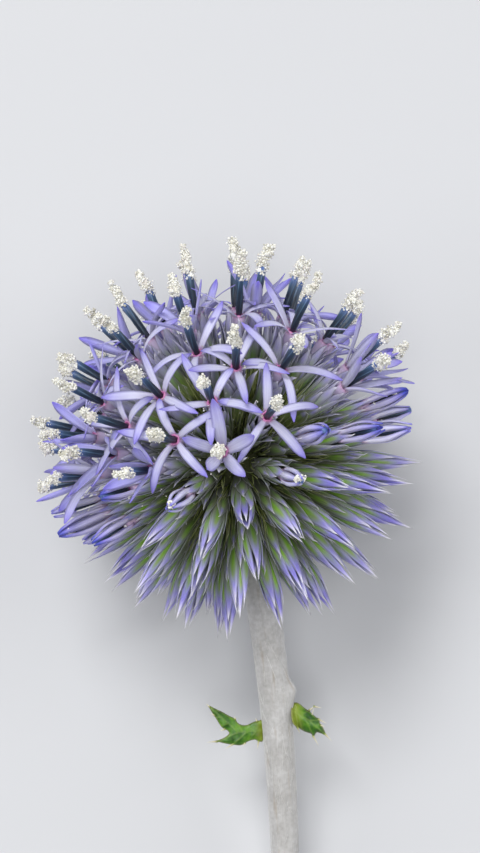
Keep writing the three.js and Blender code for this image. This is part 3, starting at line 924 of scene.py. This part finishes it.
# The loose lobes take the painted glow and shade.
loose_lobe_glow_mask = sums(tree, "GREATER_THAN", mark(tree, "shade"), 0.5)
face = blend(tree, times(tree, loose_lobe_glow_mask, 0.9), face, painted_glow_lobe_face)
towards_tip = {"Value": along, "From Max": 0.8, "To Min": 0.12, "To Max": 0.7}
violet = join(tree, "ShaderNodeMapRange", towards_tip).outputs["Result"]
colour = blend(tree, times(tree, band(tree, edge, 0.45, 1.0), violet), face, (132, 121, 228))
colour = darken(tree, 0.35, colour, fibre, (170, 165, 205), 0.65)
tube_colour = ramp(
    tree,
    height,
    (12.6 / BRACT_TIP_RADIUS, 184, 188, 188),
    (14.6 / BRACT_TIP_RADIUS, 184, 178, 202),
    (16.3 / BRACT_TIP_RADIUS, 196, 178, 208),
    (16.85 / BRACT_TIP_RADIUS, 206, 142, 190),
)
tube_colour = blend(tree, band(tree, along, -1.5, -1.28), tube_colour, (198, 112, 168))
colour = blend(tree, sums(tree, "LESS_THAN", along, -0.5), colour, tube_colour)
dress(
    tree,
    {
        "Base Color": colour,
        "Roughness": 0.5,
        **lit_through(0.25, (0.9, 0.8, 1.2), 0.0005),
        "Sheen Weight": 0.2,
        "Normal": relief(tree, fibre, 0.35, 0.00006),
    },
)
corollas = corolla_growth.piece("corollas", corolla_finish)
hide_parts("florets")
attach(corollas, "root")

# ---- Buds
# Corollas near the ball's equator that have not spread yet: five lobes still held together at
# their deep blue tips, with slits between them that show the anthers.

BUD_FOOT, BUD_TIP = 15.6, 21.5
BUD_ROOT_RADIUS, BUD_END_RADIUS, PARTED_END_RADIUS = 0.34, 0.22, 0.36
BUD_STATIONS = 12
BUD_LOBE_THICKNESS = np.linspace(0.2, 0.16, BUD_STATIONS)
BUD_HOLLOW = 0.45
BUD_TUBE = [(12.6, 0.36), (14.2, 0.46), (15.2, 0.62), (15.9, 0.74), (16.3, 0.66), (16.4, 0.4)]
BUD_FLUTING = 0.08
bud_growth = Growth()
buds = [c for c in capitula if c.stage == "opening"]
for capitulum in buds:
    any_ = capitulum.any
    ripe, parting = any_.random(), any_.random() < 0.5
    bulge, reach = any_.uniform(0.74, 1.0), BUD_TIP + any_.uniform(-1.2, 0.3)
    capitulum.reach = reach
    along = np.linspace(0, 1, BUD_STATIONS)
    height = BUD_FOOT + (reach - BUD_FOOT) * along
    shape = np.interp(along, (0, 0.15, 0.45, 0.7, 0.88, 1), (0.55, 0.75, 1, 0.82, 0.5, 0.3))
    swelling = bulge + 0.1 * parting - BUD_ROOT_RADIUS
    radius = BUD_ROOT_RADIUS + swelling * shape * np.clip(1.25 - along**3, 0, 1)
    radius[-1] = PARTED_END_RADIUS if parting else BUD_END_RADIUS
    start = any_.uniform(0, TURN)
    for k in range(SIDES):
        turn = start + TURN * k / SIDES
        sway = any_.uniform(-0.25, 0.25) * along**2 if parting else 0.0
        path = capitulum.at(height + any_.uniform(-0.3, 0.3) * along, radius, turn + sway)
        widths = bulge * np.interp(along, (0, 0.3, 0.6, 0.85, 1), (0.46, 0.6, 0.58, 0.4, 0.2))
        widths *= 0.8 if parting else 1.0
        roll = np.full(BUD_STATIONS, any_.uniform(-0.12, 0.12))
        upward = 0.05 * capitulum.direction - capitulum.sideways(turn)
        shade = ripe + 0.004 * k
        grow_ribbon(bud_growth, path, upward, widths, BUD_LOBE_THICKNESS, roll, shade, BUD_HOLLOW)
    grow_tube(bud_growth, capitulum, BUD_TUBE, [BUD_FLUTING] * len(BUD_TUBE), start, any_.random())

bud_finish, tree = new_material("bud_corolla")
along = mark(tree, "along")
edge = sums(tree, "ABSOLUTE", mark(tree, "across"))
fibre = streaks(tree, 2.0, 6.0)
deep = ramp(
    tree,
    along,
    (0.0, 222, 188, 216),
    (0.2, 218, 212, 240),
    (0.55, 204, 200, 243),
    (0.78, 156, 150, 232),
    (0.92, 74, 84, 202),
    (1.0, 44, 60, 164),
)
pale = ramp(
    tree,
    along,
    (0.0, 228, 200, 224),
    (0.2, 232, 230, 248),
    (0.6, 224, 223, 252),
    (0.9, 190, 186, 246),
    (1.0, 120, 118, 222),
)
face = blend(tree, band(tree, mark(tree, "shade"), 0.35, 0.6), deep, pale)
colour = blend(tree, times(tree, band(tree, edge, 0.5, 1.0), 0.28), face, (122, 112, 222))
colour = darken(tree, 0.4, colour, fibre, (165, 160, 205), 0.65)
colour = blend(tree, sums(tree, "LESS_THAN", along, -0.5), colour, (204, 178, 206))
dress(
    tree,
    {
        "Base Color": colour,
        "Roughness": 0.42,
        **lit_through(0.2, (0.7, 0.7, 1.2), 0.0004),
        "Normal": relief(tree, fibre, 0.35, 0.00006),
    },
)
bud_corollas = bud_growth.piece("bud_corollas", bud_finish)
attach(bud_corollas, "root")

# ---- Anther columns
# Five slate-blue anthers joined edge to edge in a ridged column, pink at its foot, that stands
# out of each open throat and hides inside each bud.

COLUMN_HEIGHT = 4.7
ANTHER_FOOT = 16.2
ANTHER_STATIONS = 9
ANTHER_TURNS = np.arange(2 * SIDES) * TURN / (2 * SIDES)
ON_RIDGE = np.arange(2 * SIDES) % 2 == 0
FURROW, COLUMN_TWIST = 0.80, 0.25  # share of the ridge's radius, and radians a mm
anther_growth = Growth()
columns = []  # each with the middle of its top and the way it points
for capitulum in open_capitula + buds:
    any_ = capitulum.any
    is_open = capitulum.stage == "open"
    top = THROAT_RADIUS + COLUMN_HEIGHT * (any_.uniform(0.9, 1.06) if is_open else 0.78)
    along = np.linspace(0, 1, ANTHER_STATIONS)
    height = ANTHER_FOOT + (top - ANTHER_FOOT) * along
    radius = np.interp(along, (0, 0.06, 0.2, 0.6, 0.9, 1), (0.22, 0.28, 0.41, 0.46, 0.49, 0.42))
    radius = radius * (1 if is_open else 0.82)
    lean_turn, lean = any_.uniform(0, TURN), any_.uniform(0.0, 0.09 if is_open else 0.02)
    sway = np.outer((height - ANTHER_FOOT) * lean, capitulum.sideways(lean_turn))
    ridge = np.where(ON_RIDGE, 1.0, FURROW)
    rings = np.stack(
        [
            capitulum.at(h, r * ridge, ANTHER_TURNS + COLUMN_TWIST * h) + s
            for h, r, s in zip(height, radius, sway)
        ]
    )
    anther_growth.skin(rings, along, ON_RIDGE, any_.random())
    top_middle = rings[-1].mean(axis=0)
    columns.append((capitulum, top_middle, top_middle - rings[-3].mean(axis=0)))

anther_finish, tree = new_material("anther_column")
along = mark(tree, "along")
fibre = streaks(tree, 4.0, 3.0)
body = ramp(
    tree,
    along,
    (0.0, 186, 100, 164),
    (0.12, 60, 44, 70),
    (0.2, 20, 28, 40),
    (0.6, 32, 46, 62),
    (0.8, 52, 76, 102),
    (1.0, 86, 110, 168),
)
line = ramp(
    tree,
    along,
    (0.0, 186, 100, 164),
    (0.15, 36, 44, 58),
    (0.5, 66, 94, 114),
    (0.8, 104, 134, 162),
    (1.0, 126, 148, 204),
)
lines = times(tree, band(tree, mark(tree, "across"), 0.5, 1.0), band(tree, fibre, 0.25, 0.7))
colour = blend(tree, lines, body, line)
dress(
    tree,
    {"Base Color": colour, "Roughness": 0.38, "Normal": relief(tree, fibre, 0.4, 0.00006)},
)
anthers = anther_growth.piece("anther_columns", anther_finish)
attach(anthers, "root")

# ---- Pollen
# Cream pollen pushed out of each column by the style: irregular clumps of coarse crumbs, with a
# dusting of loose crumbs on the lobes and bracts round about.

CRUMB = np.array([(1, 0, 0), (-1, 0, 0), (0, 1, 0), (0, -1, 0), (0, 0, 1), (0, 0, -1)], float)
CRUMB_FACES = [(0, 2, 4), (2, 1, 4), (1, 3, 4), (3, 0, 4), (2, 0, 5), (1, 2, 5), (3, 1, 5), (0, 3, 5)]
CRUMBS_A_CLUMP = 270
LOOSE_CRUMBS = 260
CLUMP_GIRTH, TALLEST_CLUMP = (0.48, 0.64), (3.3, 0.62)  # mm; the tallest has a length of its own
BUD_CLUMP = (0.4, 0.36)  # length and girth
BUDS_WITH_POLLEN = 0.35
LUMP_ROUGHNESS, LUMP_GRAIN = 0.4, 1.9  # share of the girth, and how close together
pollen_growth = Growth()


def add_crumb(any_, place, size):
    """One crumb of eight faces, turned and stretched at random."""
    spin = np.linalg.qr(np.array([[any_.gauss(0, 1) for _ in range(3)] for _ in range(3)]))[0]
    if np.linalg.det(spin) < 0:
        spin[:, 0] *= -1
    shape = CRUMB * size * np.array([any_.uniform(0.8, 1.25) for _ in range(3)])
    pollen_growth.add(place + shape @ spin.T, CRUMB_FACES, 0.0, 0.0, any_.random())


def grow_lump(any_, place, size):
    """One rough lump of a clump, which the crumbs stick to."""

    def radius_towards(out):
        return size * (0.74 + LUMP_ROUGHNESS * noise.noise(Vector(place + out * 1.3) * LUMP_GRAIN))

    grow_ball(pollen_growth, place, radius_towards, 6, 8, 0.25, any_.random())


any_ = random.Random(77)
for capitulum, top, way in columns:
    is_open = capitulum.stage == "open"
    if not is_open and any_.random() > BUDS_WITH_POLLEN:
        continue
    length = any_.uniform(0.8, 1.7) + 1.1 * max(0, capitulum.direction[2]) ** 2
    girth = any_.uniform(*CLUMP_GIRTH)
    if capitulum is open_capitula[1]:
        length, girth = TALLEST_CLUMP
    if not is_open:
        top = capitulum.direction * (capitulum.reach - any_.uniform(0.3, 1.6)) + any_way(any_) * 0.3
        length, girth = BUD_CLUMP
    wander = any_way(any_) * any_.uniform(0.2, 0.8)
    lumps = []
    count = 3 + round(length / 0.5)
    for step in np.linspace(-0.12, 1, count):
        place = top + unit(way) * length * step + wander * step**2 + any_way(any_) * 0.2
        size = girth * (0.8 + 0.28 * math.sin(math.pi * min(step + 0.25, 1))) * any_.uniform(0.85, 1.1)
        lumps.append((place, size * (0.72 if step > 0.95 else 1)))
    for place, size in lumps:
        grow_lump(any_, place, size)
    for _ in range(round(CRUMBS_A_CLUMP * (0.3 + length / 2.2)) if is_open else CRUMBS_A_CLUMP // 4):
        place, size = any_.choice(lumps)
        coarse = any_.random() < 0.4
        out = any_.uniform(0.8, 1.3 if coarse else 1.15)
        crumb = any_.uniform(0.12, 0.2) if coarse else any_.uniform(0.07, 0.12)
        add_crumb(any_, place + any_way(any_) * size * out, crumb)

for _ in range(LOOSE_CRUMBS):
    host = any_.choice(open_capitula + buds)
    away = any_way(any_) * any_.uniform(0.5, 3.4)
    away -= host.direction * (away @ host.direction)
    place = host.direction * any_.uniform(16.6, 17.4) + away
    for _ in range(any_.choice((1, 1, 1, 2, 7))):
        add_crumb(any_, place + any_way(any_) * 0.13, any_.uniform(0.05, 0.11))

pollen_finish, tree = new_material("pollen_crumbs")
colour = ramp(
    tree,
    mark(tree, "shade"),
    (0.0, 194, 191, 176),
    (0.3, 243, 241, 229),
    (0.8, 252, 252, 246),
    (1.0, 228, 221, 214),
)
dress(
    tree,
    {
        "Base Color": colour,
        "Roughness": 0.8,
        **lit_through(0.15, (1.0, 0.9, 0.7), 0.0002),
    },
)
pollen = pollen_growth.piece("pollen", pollen_finish)
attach(pollen, "root")

# ---- Stem
# One pale round stem, bent a little, faintly ribbed and covered in close grey-white felt, with a
# small swelling and a bud above the right leaf. It was cut square at its lower end.

STEM_SEAT = 6.3
STEM_TAPER = ((6, 14, 30, 46, 64), (1.97, 1.93, 1.74, 1.55, 1.5))
STEM_BEND, STEM_BEND_END = 0.0043, 44.0
NODE_REACH, NODE_TURN, NODE_RISE = 27.0, math.radians(80), 0.45  # the swelling over the leaf
NODE_LENGTH, NODE_WIDTH = 2.2, 0.7
KNOB_REACH, KNOB_RISE, KNOB_LENGTH, KNOB_WIDTH = 26.6, 0.34, 0.9, 0.45  # the bud on the swelling
STEM_SIDES, STEM_RINGS = 56, 150
STEM_RIBS, RIB_RISE, FELT_RISE = 11, 0.028, 0.05
CUT_RINGS = ((0.2, -1.0), (0.5, -0.9), (0.74, -0.8), (0.86, -0.7), (0.97, -0.6))  # share, mark


def stem_offset(reach):
    """How far the stem's middle line is off the ball's axis, towards -X."""
    bent = min(reach, STEM_BEND_END)
    return -STEM_BEND * bent * bent / 2 - STEM_BEND * bent * (reach - bent)


def stem_radius(reach):
    return float(np.interp(reach, *STEM_TAPER))


def stem_point(reach, turn, out=0.0):
    """A point on the stem's surface, turn measured from the side that looks up, towards +X."""
    around = turn - NODE_TURN
    length = NODE_LENGTH if reach > NODE_REACH else 0.6 * NODE_LENGTH
    swelling = NODE_RISE * math.exp(-(((reach - NODE_REACH) / length) ** 2) - (around / NODE_WIDTH) ** 2)
    knob = KNOB_RISE * math.exp(-(((reach - KNOB_REACH) / KNOB_LENGTH) ** 2) - (around / KNOB_WIDTH) ** 2)
    rib = RIB_RISE * math.cos(STEM_RIBS * turn + 0.8 * math.sin(reach * 0.11))
    felt = FELT_RISE * noise.noise(Vector((turn * 1.3, reach * 0.22, 3.0)))
    radius = stem_radius(reach) + swelling + knob + rib + felt + out
    return (radius * math.sin(turn) + stem_offset(reach), -radius * math.cos(turn), -reach)


stem_growth = Growth()
reaches = np.linspace(STEM_REACH, STEM_SEAT, STEM_RINGS)
turns = np.linspace(-math.pi, math.pi, STEM_SIDES, endpoint=False)
rings = np.array([[stem_point(reach, turn) for turn in turns] for reach in reaches])
along = (STEM_REACH - reaches) / STEM_REACH
middle = rings[0].mean(axis=0)
for share, cut_mark in CUT_RINGS:
    ring = middle + share * (rings[-STEM_RINGS] - middle) + (0, 0, 0.25 * (1 - share) ** 2)
    rings = np.concatenate([rings[:-STEM_RINGS], ring[None], rings[-STEM_RINGS:]])
    along = np.concatenate([along[:-STEM_RINGS], [cut_mark], along[-STEM_RINGS:]])
stem_growth.skin(rings, along, turns / math.pi, 0.3)

stem_finish, tree = new_material("stem_felt")
fibre, fine, along = streaks(tree, 14.0, 9.0), streaks(tree, 70.0, 30.0), mark(tree, "along")
coordinates = join(tree, "ShaderNodeTexCoord").outputs["Object"]
tuft = mottle(tree, 2400.0, 4.0, Vector=coordinates)
cloud = mottle(tree, 420.0, 2.0, Vector=coordinates)
colour = ramp(tree, cloud, (0.3, 180, 178, 176), (0.7, 200, 199, 198))
colour = blend(tree, times(tree, band(tree, fibre, 0.42, 0.28), 0.42), colour, (158, 140, 116))
colour = darken(tree, 0.2, colour, fine, (180, 178, 172), 0.7)
colour = darken(tree, 0.35, colour, tuft, (170, 168, 160), 0.7)
cut_face = ramp(
    tree,
    sums(tree, "ADD", along, 1.0),
    (0.0, 222, 220, 190),
    (0.16, 208, 208, 164),
    (0.24, 146, 164, 92),
    (0.34, 164, 168, 128),
)
cut_face = darken(tree, 0.5, cut_face, tuft, (150, 150, 130), 0.7)
colour = blend(tree, sums(tree, "LESS_THAN", along, -0.4), colour, cut_face)
felt_height = sums(tree, "ADD", times(tree, fine, 0.6), tuft)
dress(
    tree,
    {
        "Base Color": colour,
        "Roughness": 0.85,
        "Sheen Weight": 0.5,
        "Sheen Roughness": 0.6,
        "Normal": relief(tree, felt_height, 0.55, 0.00012),
    },
)
stem = stem_growth.piece("felted_stem", stem_finish)
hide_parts("stem")
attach(stem, "root")

# The loose white hairs of the felt, that lie along the stem and lift off it here and there.
HAIRS, HAIR_CLEARANCE = 280, 0.02
hair_any = random.Random(31)
hair_growth = Growth()
for _ in range(HAIRS):
    reach, turn = hair_any.uniform(20, 63.5), hair_any.uniform(-math.pi, math.pi)
    length, drift = hair_any.uniform(0.8, 3.2), hair_any.uniform(-0.5, 0.5)
    lift, width = hair_any.uniform(0.0, 0.5) ** 3, hair_any.uniform(0.008, 0.014)
    along = np.linspace(0, 1, 5)
    rises = HAIR_CLEARANCE + lift * np.sin(math.pi * along)
    ends = zip(np.minimum(reach + length * along, STEM_REACH), turn + drift * along, rises)
    path = np.array([stem_point(*end) for end in ends])
    out = unit(path[2] - np.array((stem_offset(reach), 0, path[2][2])))
    side = np.cross(out, (0, 0, -1))
    rings = np.stack([path + width * side, path + width * out, path - width * side], axis=1)
    hair_growth.skin(rings[:, ::-1], along, 0.0, hair_any.random())

hair_finish, tree = new_material("felt_hair")
colour = ramp(tree, mark(tree, "shade"), (0.0, 214, 212, 204), (1.0, 244, 244, 242))
dress(tree, {"Base Color": colour, "Roughness": 0.6})
hairs = hair_growth.piece("stem_hairs", hair_finish)
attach(hairs, "root")

# ---- Leaves
# Two small thistle leaves that clasp the stem, one each side: domed green blades with pale veins,
# cut into lobes that each end in a stiff straw-coloured spine.

LEAVES = {  # node: reach, side, dome, outline, veins and spines, all out from the stem and up
    "leaf_left": (
        30.4,
        -1,
        0.35,
        [(-0.4, 1.1), (0.1, 1.15), (0.7, 1.0), (1.46, 0.65), (2.07, 0.68), (2.5, 0.95), (2.75, 1.35)]
        + [(3.45, 1.7), (4.2, 2.15), (5.1, 2.6), (5.75, 2.9), (5.3, 2.05), (4.75, 1.2), (4.3, 0.5)]
        + [(3.6, 0.05), (3.45, -0.3), (4.05, -0.75), (4.9, -1.05), (4.4, -1.2), (3.75, -1.38)]
        + [(3.0, -1.52), (2.07, -1.6), (1.3, -1.2), (0.55, -1.0), (0.1, -1.2), (-0.4, -1.0)],
        [((-0.5, 0.1), (2.4, -0.1)), ((2.4, -0.1), (5.6, 2.75)), ((2.4, -0.1), (4.7, -1.05))]
        + [((1.4, -0.05), (2.9, -1.4)), ((3.5, 0.9), (4.3, 0.6)), ((1.9, -0.1), (2.7, 1.25))]
        + [((0.4, 0.05), (1.2, -1.1)), ((4.3, 1.6), (4.95, 1.6)), ((0.6, 0.0), (1.3, 0.6))],
        [((5.6, 2.75), (6.05, 3.15)), ((5.05, 1.8), (5.5, 2.05)), ((3.9, 0.25), (4.4, 0.05))]
        + [((4.7, -1.08), (5.95, -1.1)), ((2.9, -1.4), (3.95, -2.0)), ((2.75, 1.3), (2.85, 1.65))]
        + [((0.1, -1.1), (0.25, -2.1)), ((0.3, 1.05), (0.5, 1.45)), ((1.6, -1.3), (1.9, -1.75))],
    ),
    "leaf_right": (
        29.1,
        1,
        0.7,
        [(-0.8, 0.2), (-0.65, 0.75), (-0.3, 0.9), (0.15, 0.75), (0.7, 0.3), (1.3, -0.1), (1.93, -0.65)]
        + [(2.4, -0.95), (2.45, -1.4), (2.85, -1.95), (3.1, -2.7), (2.5, -2.5), (2.1, -2.45)]
        + [(1.75, -2.95), (1.45, -2.6), (0.7, -2.35), (-0.1, -1.85), (-0.6, -1.3), (-0.8, -0.55)],
        [((-1.0, 0.2), (1.2, -1.0)), ((1.2, -1.0), (2.3, -1.0)), ((1.2, -1.0), (3.0, -2.6))]
        + [((0.8, -0.8), (1.7, -2.8)), ((0.2, -0.5), (1.1, 0.0)), ((0.0, -0.4), (0.4, -2.1))],
        [((2.2, -0.9), (3.25, -1.4)), ((2.95, -2.5), (3.85, -3.4)), ((1.65, -2.75), (2.35, -3.95))]
        + [((1.2, 0.0), (1.85, 0.55)), ((1.7, 0.5), (2.65, 0.35)), ((1.35, -1.2), (1.8, 0.5))]
        + [((-0.1, -1.8), (0.25, -2.6)), ((2.5, -1.6), (3.0, -1.75))],
    ),
}
LEAF_CUP = 0.1  # bend away from the surface, per mm
LEAF_THICKNESS = 0.3
LEAF_GRID = 0.16
LEAF_FOOT = 0.3  # mm from the stem's face to the outline's zero
EDGE_STEPS = 4
SPINE_STATIONS = np.array([0.0, 0.35, 0.7])
SPINE_GIRTHS = (0.14, 0.08, 0.045)

leaf_finish, tree = new_material("thistle_leaf")
coordinates = join(tree, "ShaderNodeTexCoord").outputs["Object"]
flecks = mottle(tree, 900.0, 4.0, Vector=coordinates)
colour = ramp(tree, flecks, (0.32, 30, 70, 10), (0.5, 60, 110, 18), (0.68, 98, 146, 38))
near_stem = times(tree, band(tree, mark(tree, "along"), 0.9, -0.4), 0.6)
colour = blend(tree, near_stem, colour, (150, 156, 44))
veins = times(tree, band(tree, mark(tree, "across"), 0.16, 0.03), 0.22)
colour = blend(tree, veins, colour, (150, 176, 80))
rim = times(tree, band(tree, mark(tree, "shade"), 0.22, 0.02), 0.4)
colour = blend(tree, rim, colour, (156, 150, 104))
dress(
    tree,
    {
        "Base Color": colour,
        "Roughness": 0.42,
        **lit_through(0.1, (0.5, 1.0, 0.3), 0.0004),
        "Normal": relief(tree, flecks, 0.5, 0.00012),
    },
)

spine_finish, tree = new_material("straw_spine")
along = mark(tree, "along")
colour = ramp(tree, along, (0.0, 140, 156, 66), (0.3, 206, 198, 164), (1.0, 234, 230, 218))
dress(tree, {"Base Color": colour, "Roughness": 0.35})


def way_to_segments(points, segments):
    """How far each point is from the nearest of some straight pieces."""
    near = np.full(len(points), np.inf)
    for a, b in segments:
        a, b = np.array(a), np.array(b)
        t = np.clip(((points - a) @ (b - a)) / ((b - a) @ (b - a)), 0, 1)
        near = np.minimum(near, np.linalg.norm(points - a - t[:, None] * (b - a), axis=1))
    return near


def rounded(outline):
    """A closed outline with each side bowed through its corners."""
    corners, curve = np.array(outline), []
    for k in range(len(corners)):
        a, b, c, d = (corners[(k + j) % len(corners)] for j in (-1, 0, 1, 2))
        for step in range(EDGE_STEPS):
            t = step / EDGE_STEPS
            bow = 2 * a - 5 * b + 4 * c - d + t * (3 * (b - c) + d - a)
            curve.append(b + 0.5 * t * (c - a + t * bow))
    return np.array(curve)


for node, (reach, side, dome, outline, vein_lines, spines) in LEAVES.items():
    foot = stem_radius(reach) + LEAF_FOOT + (NODE_RISE if side > 0 else 0)
    curve = rounded(outline)
    low, high = curve.min(0), curve.max(0)
    columns_x, rows_y = (np.arange(low[k], high[k], LEAF_GRID) for k in (0, 1))
    grid = [Vector((x, y)) for x in columns_x for y in rows_y]
    points = [Vector(point) for point in curve] + grid
    found = geometry.delaunay_2d_cdt(points, [], [list(range(len(curve)))], 1, 1e-5)
    used = sorted({i for face in found[2] for i in face})
    place = {old: new for new, old in enumerate(used)}
    flat = np.array([tuple(found[0][i]) for i in used])
    triangles = [tuple(place[i] for i in face) for face in found[2]]
    borders = {}
    for face in triangles:
        for k in range(3):
            key = tuple(sorted((face[k], face[(k + 1) % 3])))
            borders[key] = borders.get(key, 0) + 1
    on_rim = {i for key, count in borders.items() if count == 1 for i in key}
    rim_way = way_to_segments(flat, list(zip(curve, np.roll(curve, -1, axis=0))))
    vein_way = way_to_segments(flat, vein_lines)

    def in_flower(points, lift):
        """Leaf points in the flower's own frame. The right leaf's foot lies on the stem's face."""
        out = points[:, 0] * math.cos(LEAN) + side * points[:, 1] * math.sin(LEAN)
        up = points[:, 1] * math.cos(LEAN) - side * points[:, 0] * math.sin(LEAN)
        skin = stem_radius(reach) + 0.35
        on_stem = np.sqrt(np.maximum(0, skin**2 - (foot + out) ** 2)) * (side > 0)
        rise = LEAF_CUP * np.maximum(out, 0) ** 2 / 2 + np.hypot(lift, on_stem)
        return np.stack([stem_offset(reach) + side * (foot + out), -rise, up - reach], -1)

    body = dome * (1 - np.exp(-rim_way / 0.7)) + 0.05 * np.exp(-((vein_way / 0.12) ** 2))
    body += np.array([0.10 * noise.noise(Vector((x * 1.6, y * 1.6, side))) for x, y in flat])
    half_thick = LEAF_THICKNESS / 2 * np.clip(rim_way / 0.25, 0, 1) ** 0.5
    top_points, under_points = in_flower(flat, body + half_thick), in_flower(flat, body - half_thick)
    below = [i for i in range(len(flat)) if i not in on_rim]
    under = {i: i for i in on_rim} | {i: len(flat) + new for new, i in enumerate(below)}
    outwards = triangles if side > 0 else [face[::-1] for face in triangles]
    faces = outwards + [tuple(under[i] for i in face)[::-1] for face in outwards]
    leaf_growth = Growth()
    leaf_growth.add(
        np.vstack([top_points, under_points[below]]),
        faces,
        np.append(flat[:, 0], flat[below, 0]),
        np.append(vein_way, vein_way[below]),
        np.append(rim_way, rim_way[below]),
    )
    leaf = leaf_growth.piece("fine_" + node, leaf_finish)
    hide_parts(node)
    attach(leaf, "root")

    spine_growth = Growth()
    for start, end in np.array(spines):
        line = start + (end - start) * SPINE_STATIONS[:, None]
        middle = in_flower(line, dome * 0.15 + 0.05 * SPINE_STATIONS)
        ahead = unit(middle[-1] - middle[0])
        wide = unit(np.cross(ahead, (0, 1, 0)))
        rings = rings_round(middle, wide, np.cross(ahead, wide), SPINE_GIRTHS, 6)
        tip = in_flower(end[None], dome * 0.15 + 0.08)[0]
        spine_growth.skin(rings, SPINE_STATIONS, 0.0, 0.5, tip)
    thorns = spine_growth.piece("spines_" + node, spine_finish)
    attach(thorns, "root")
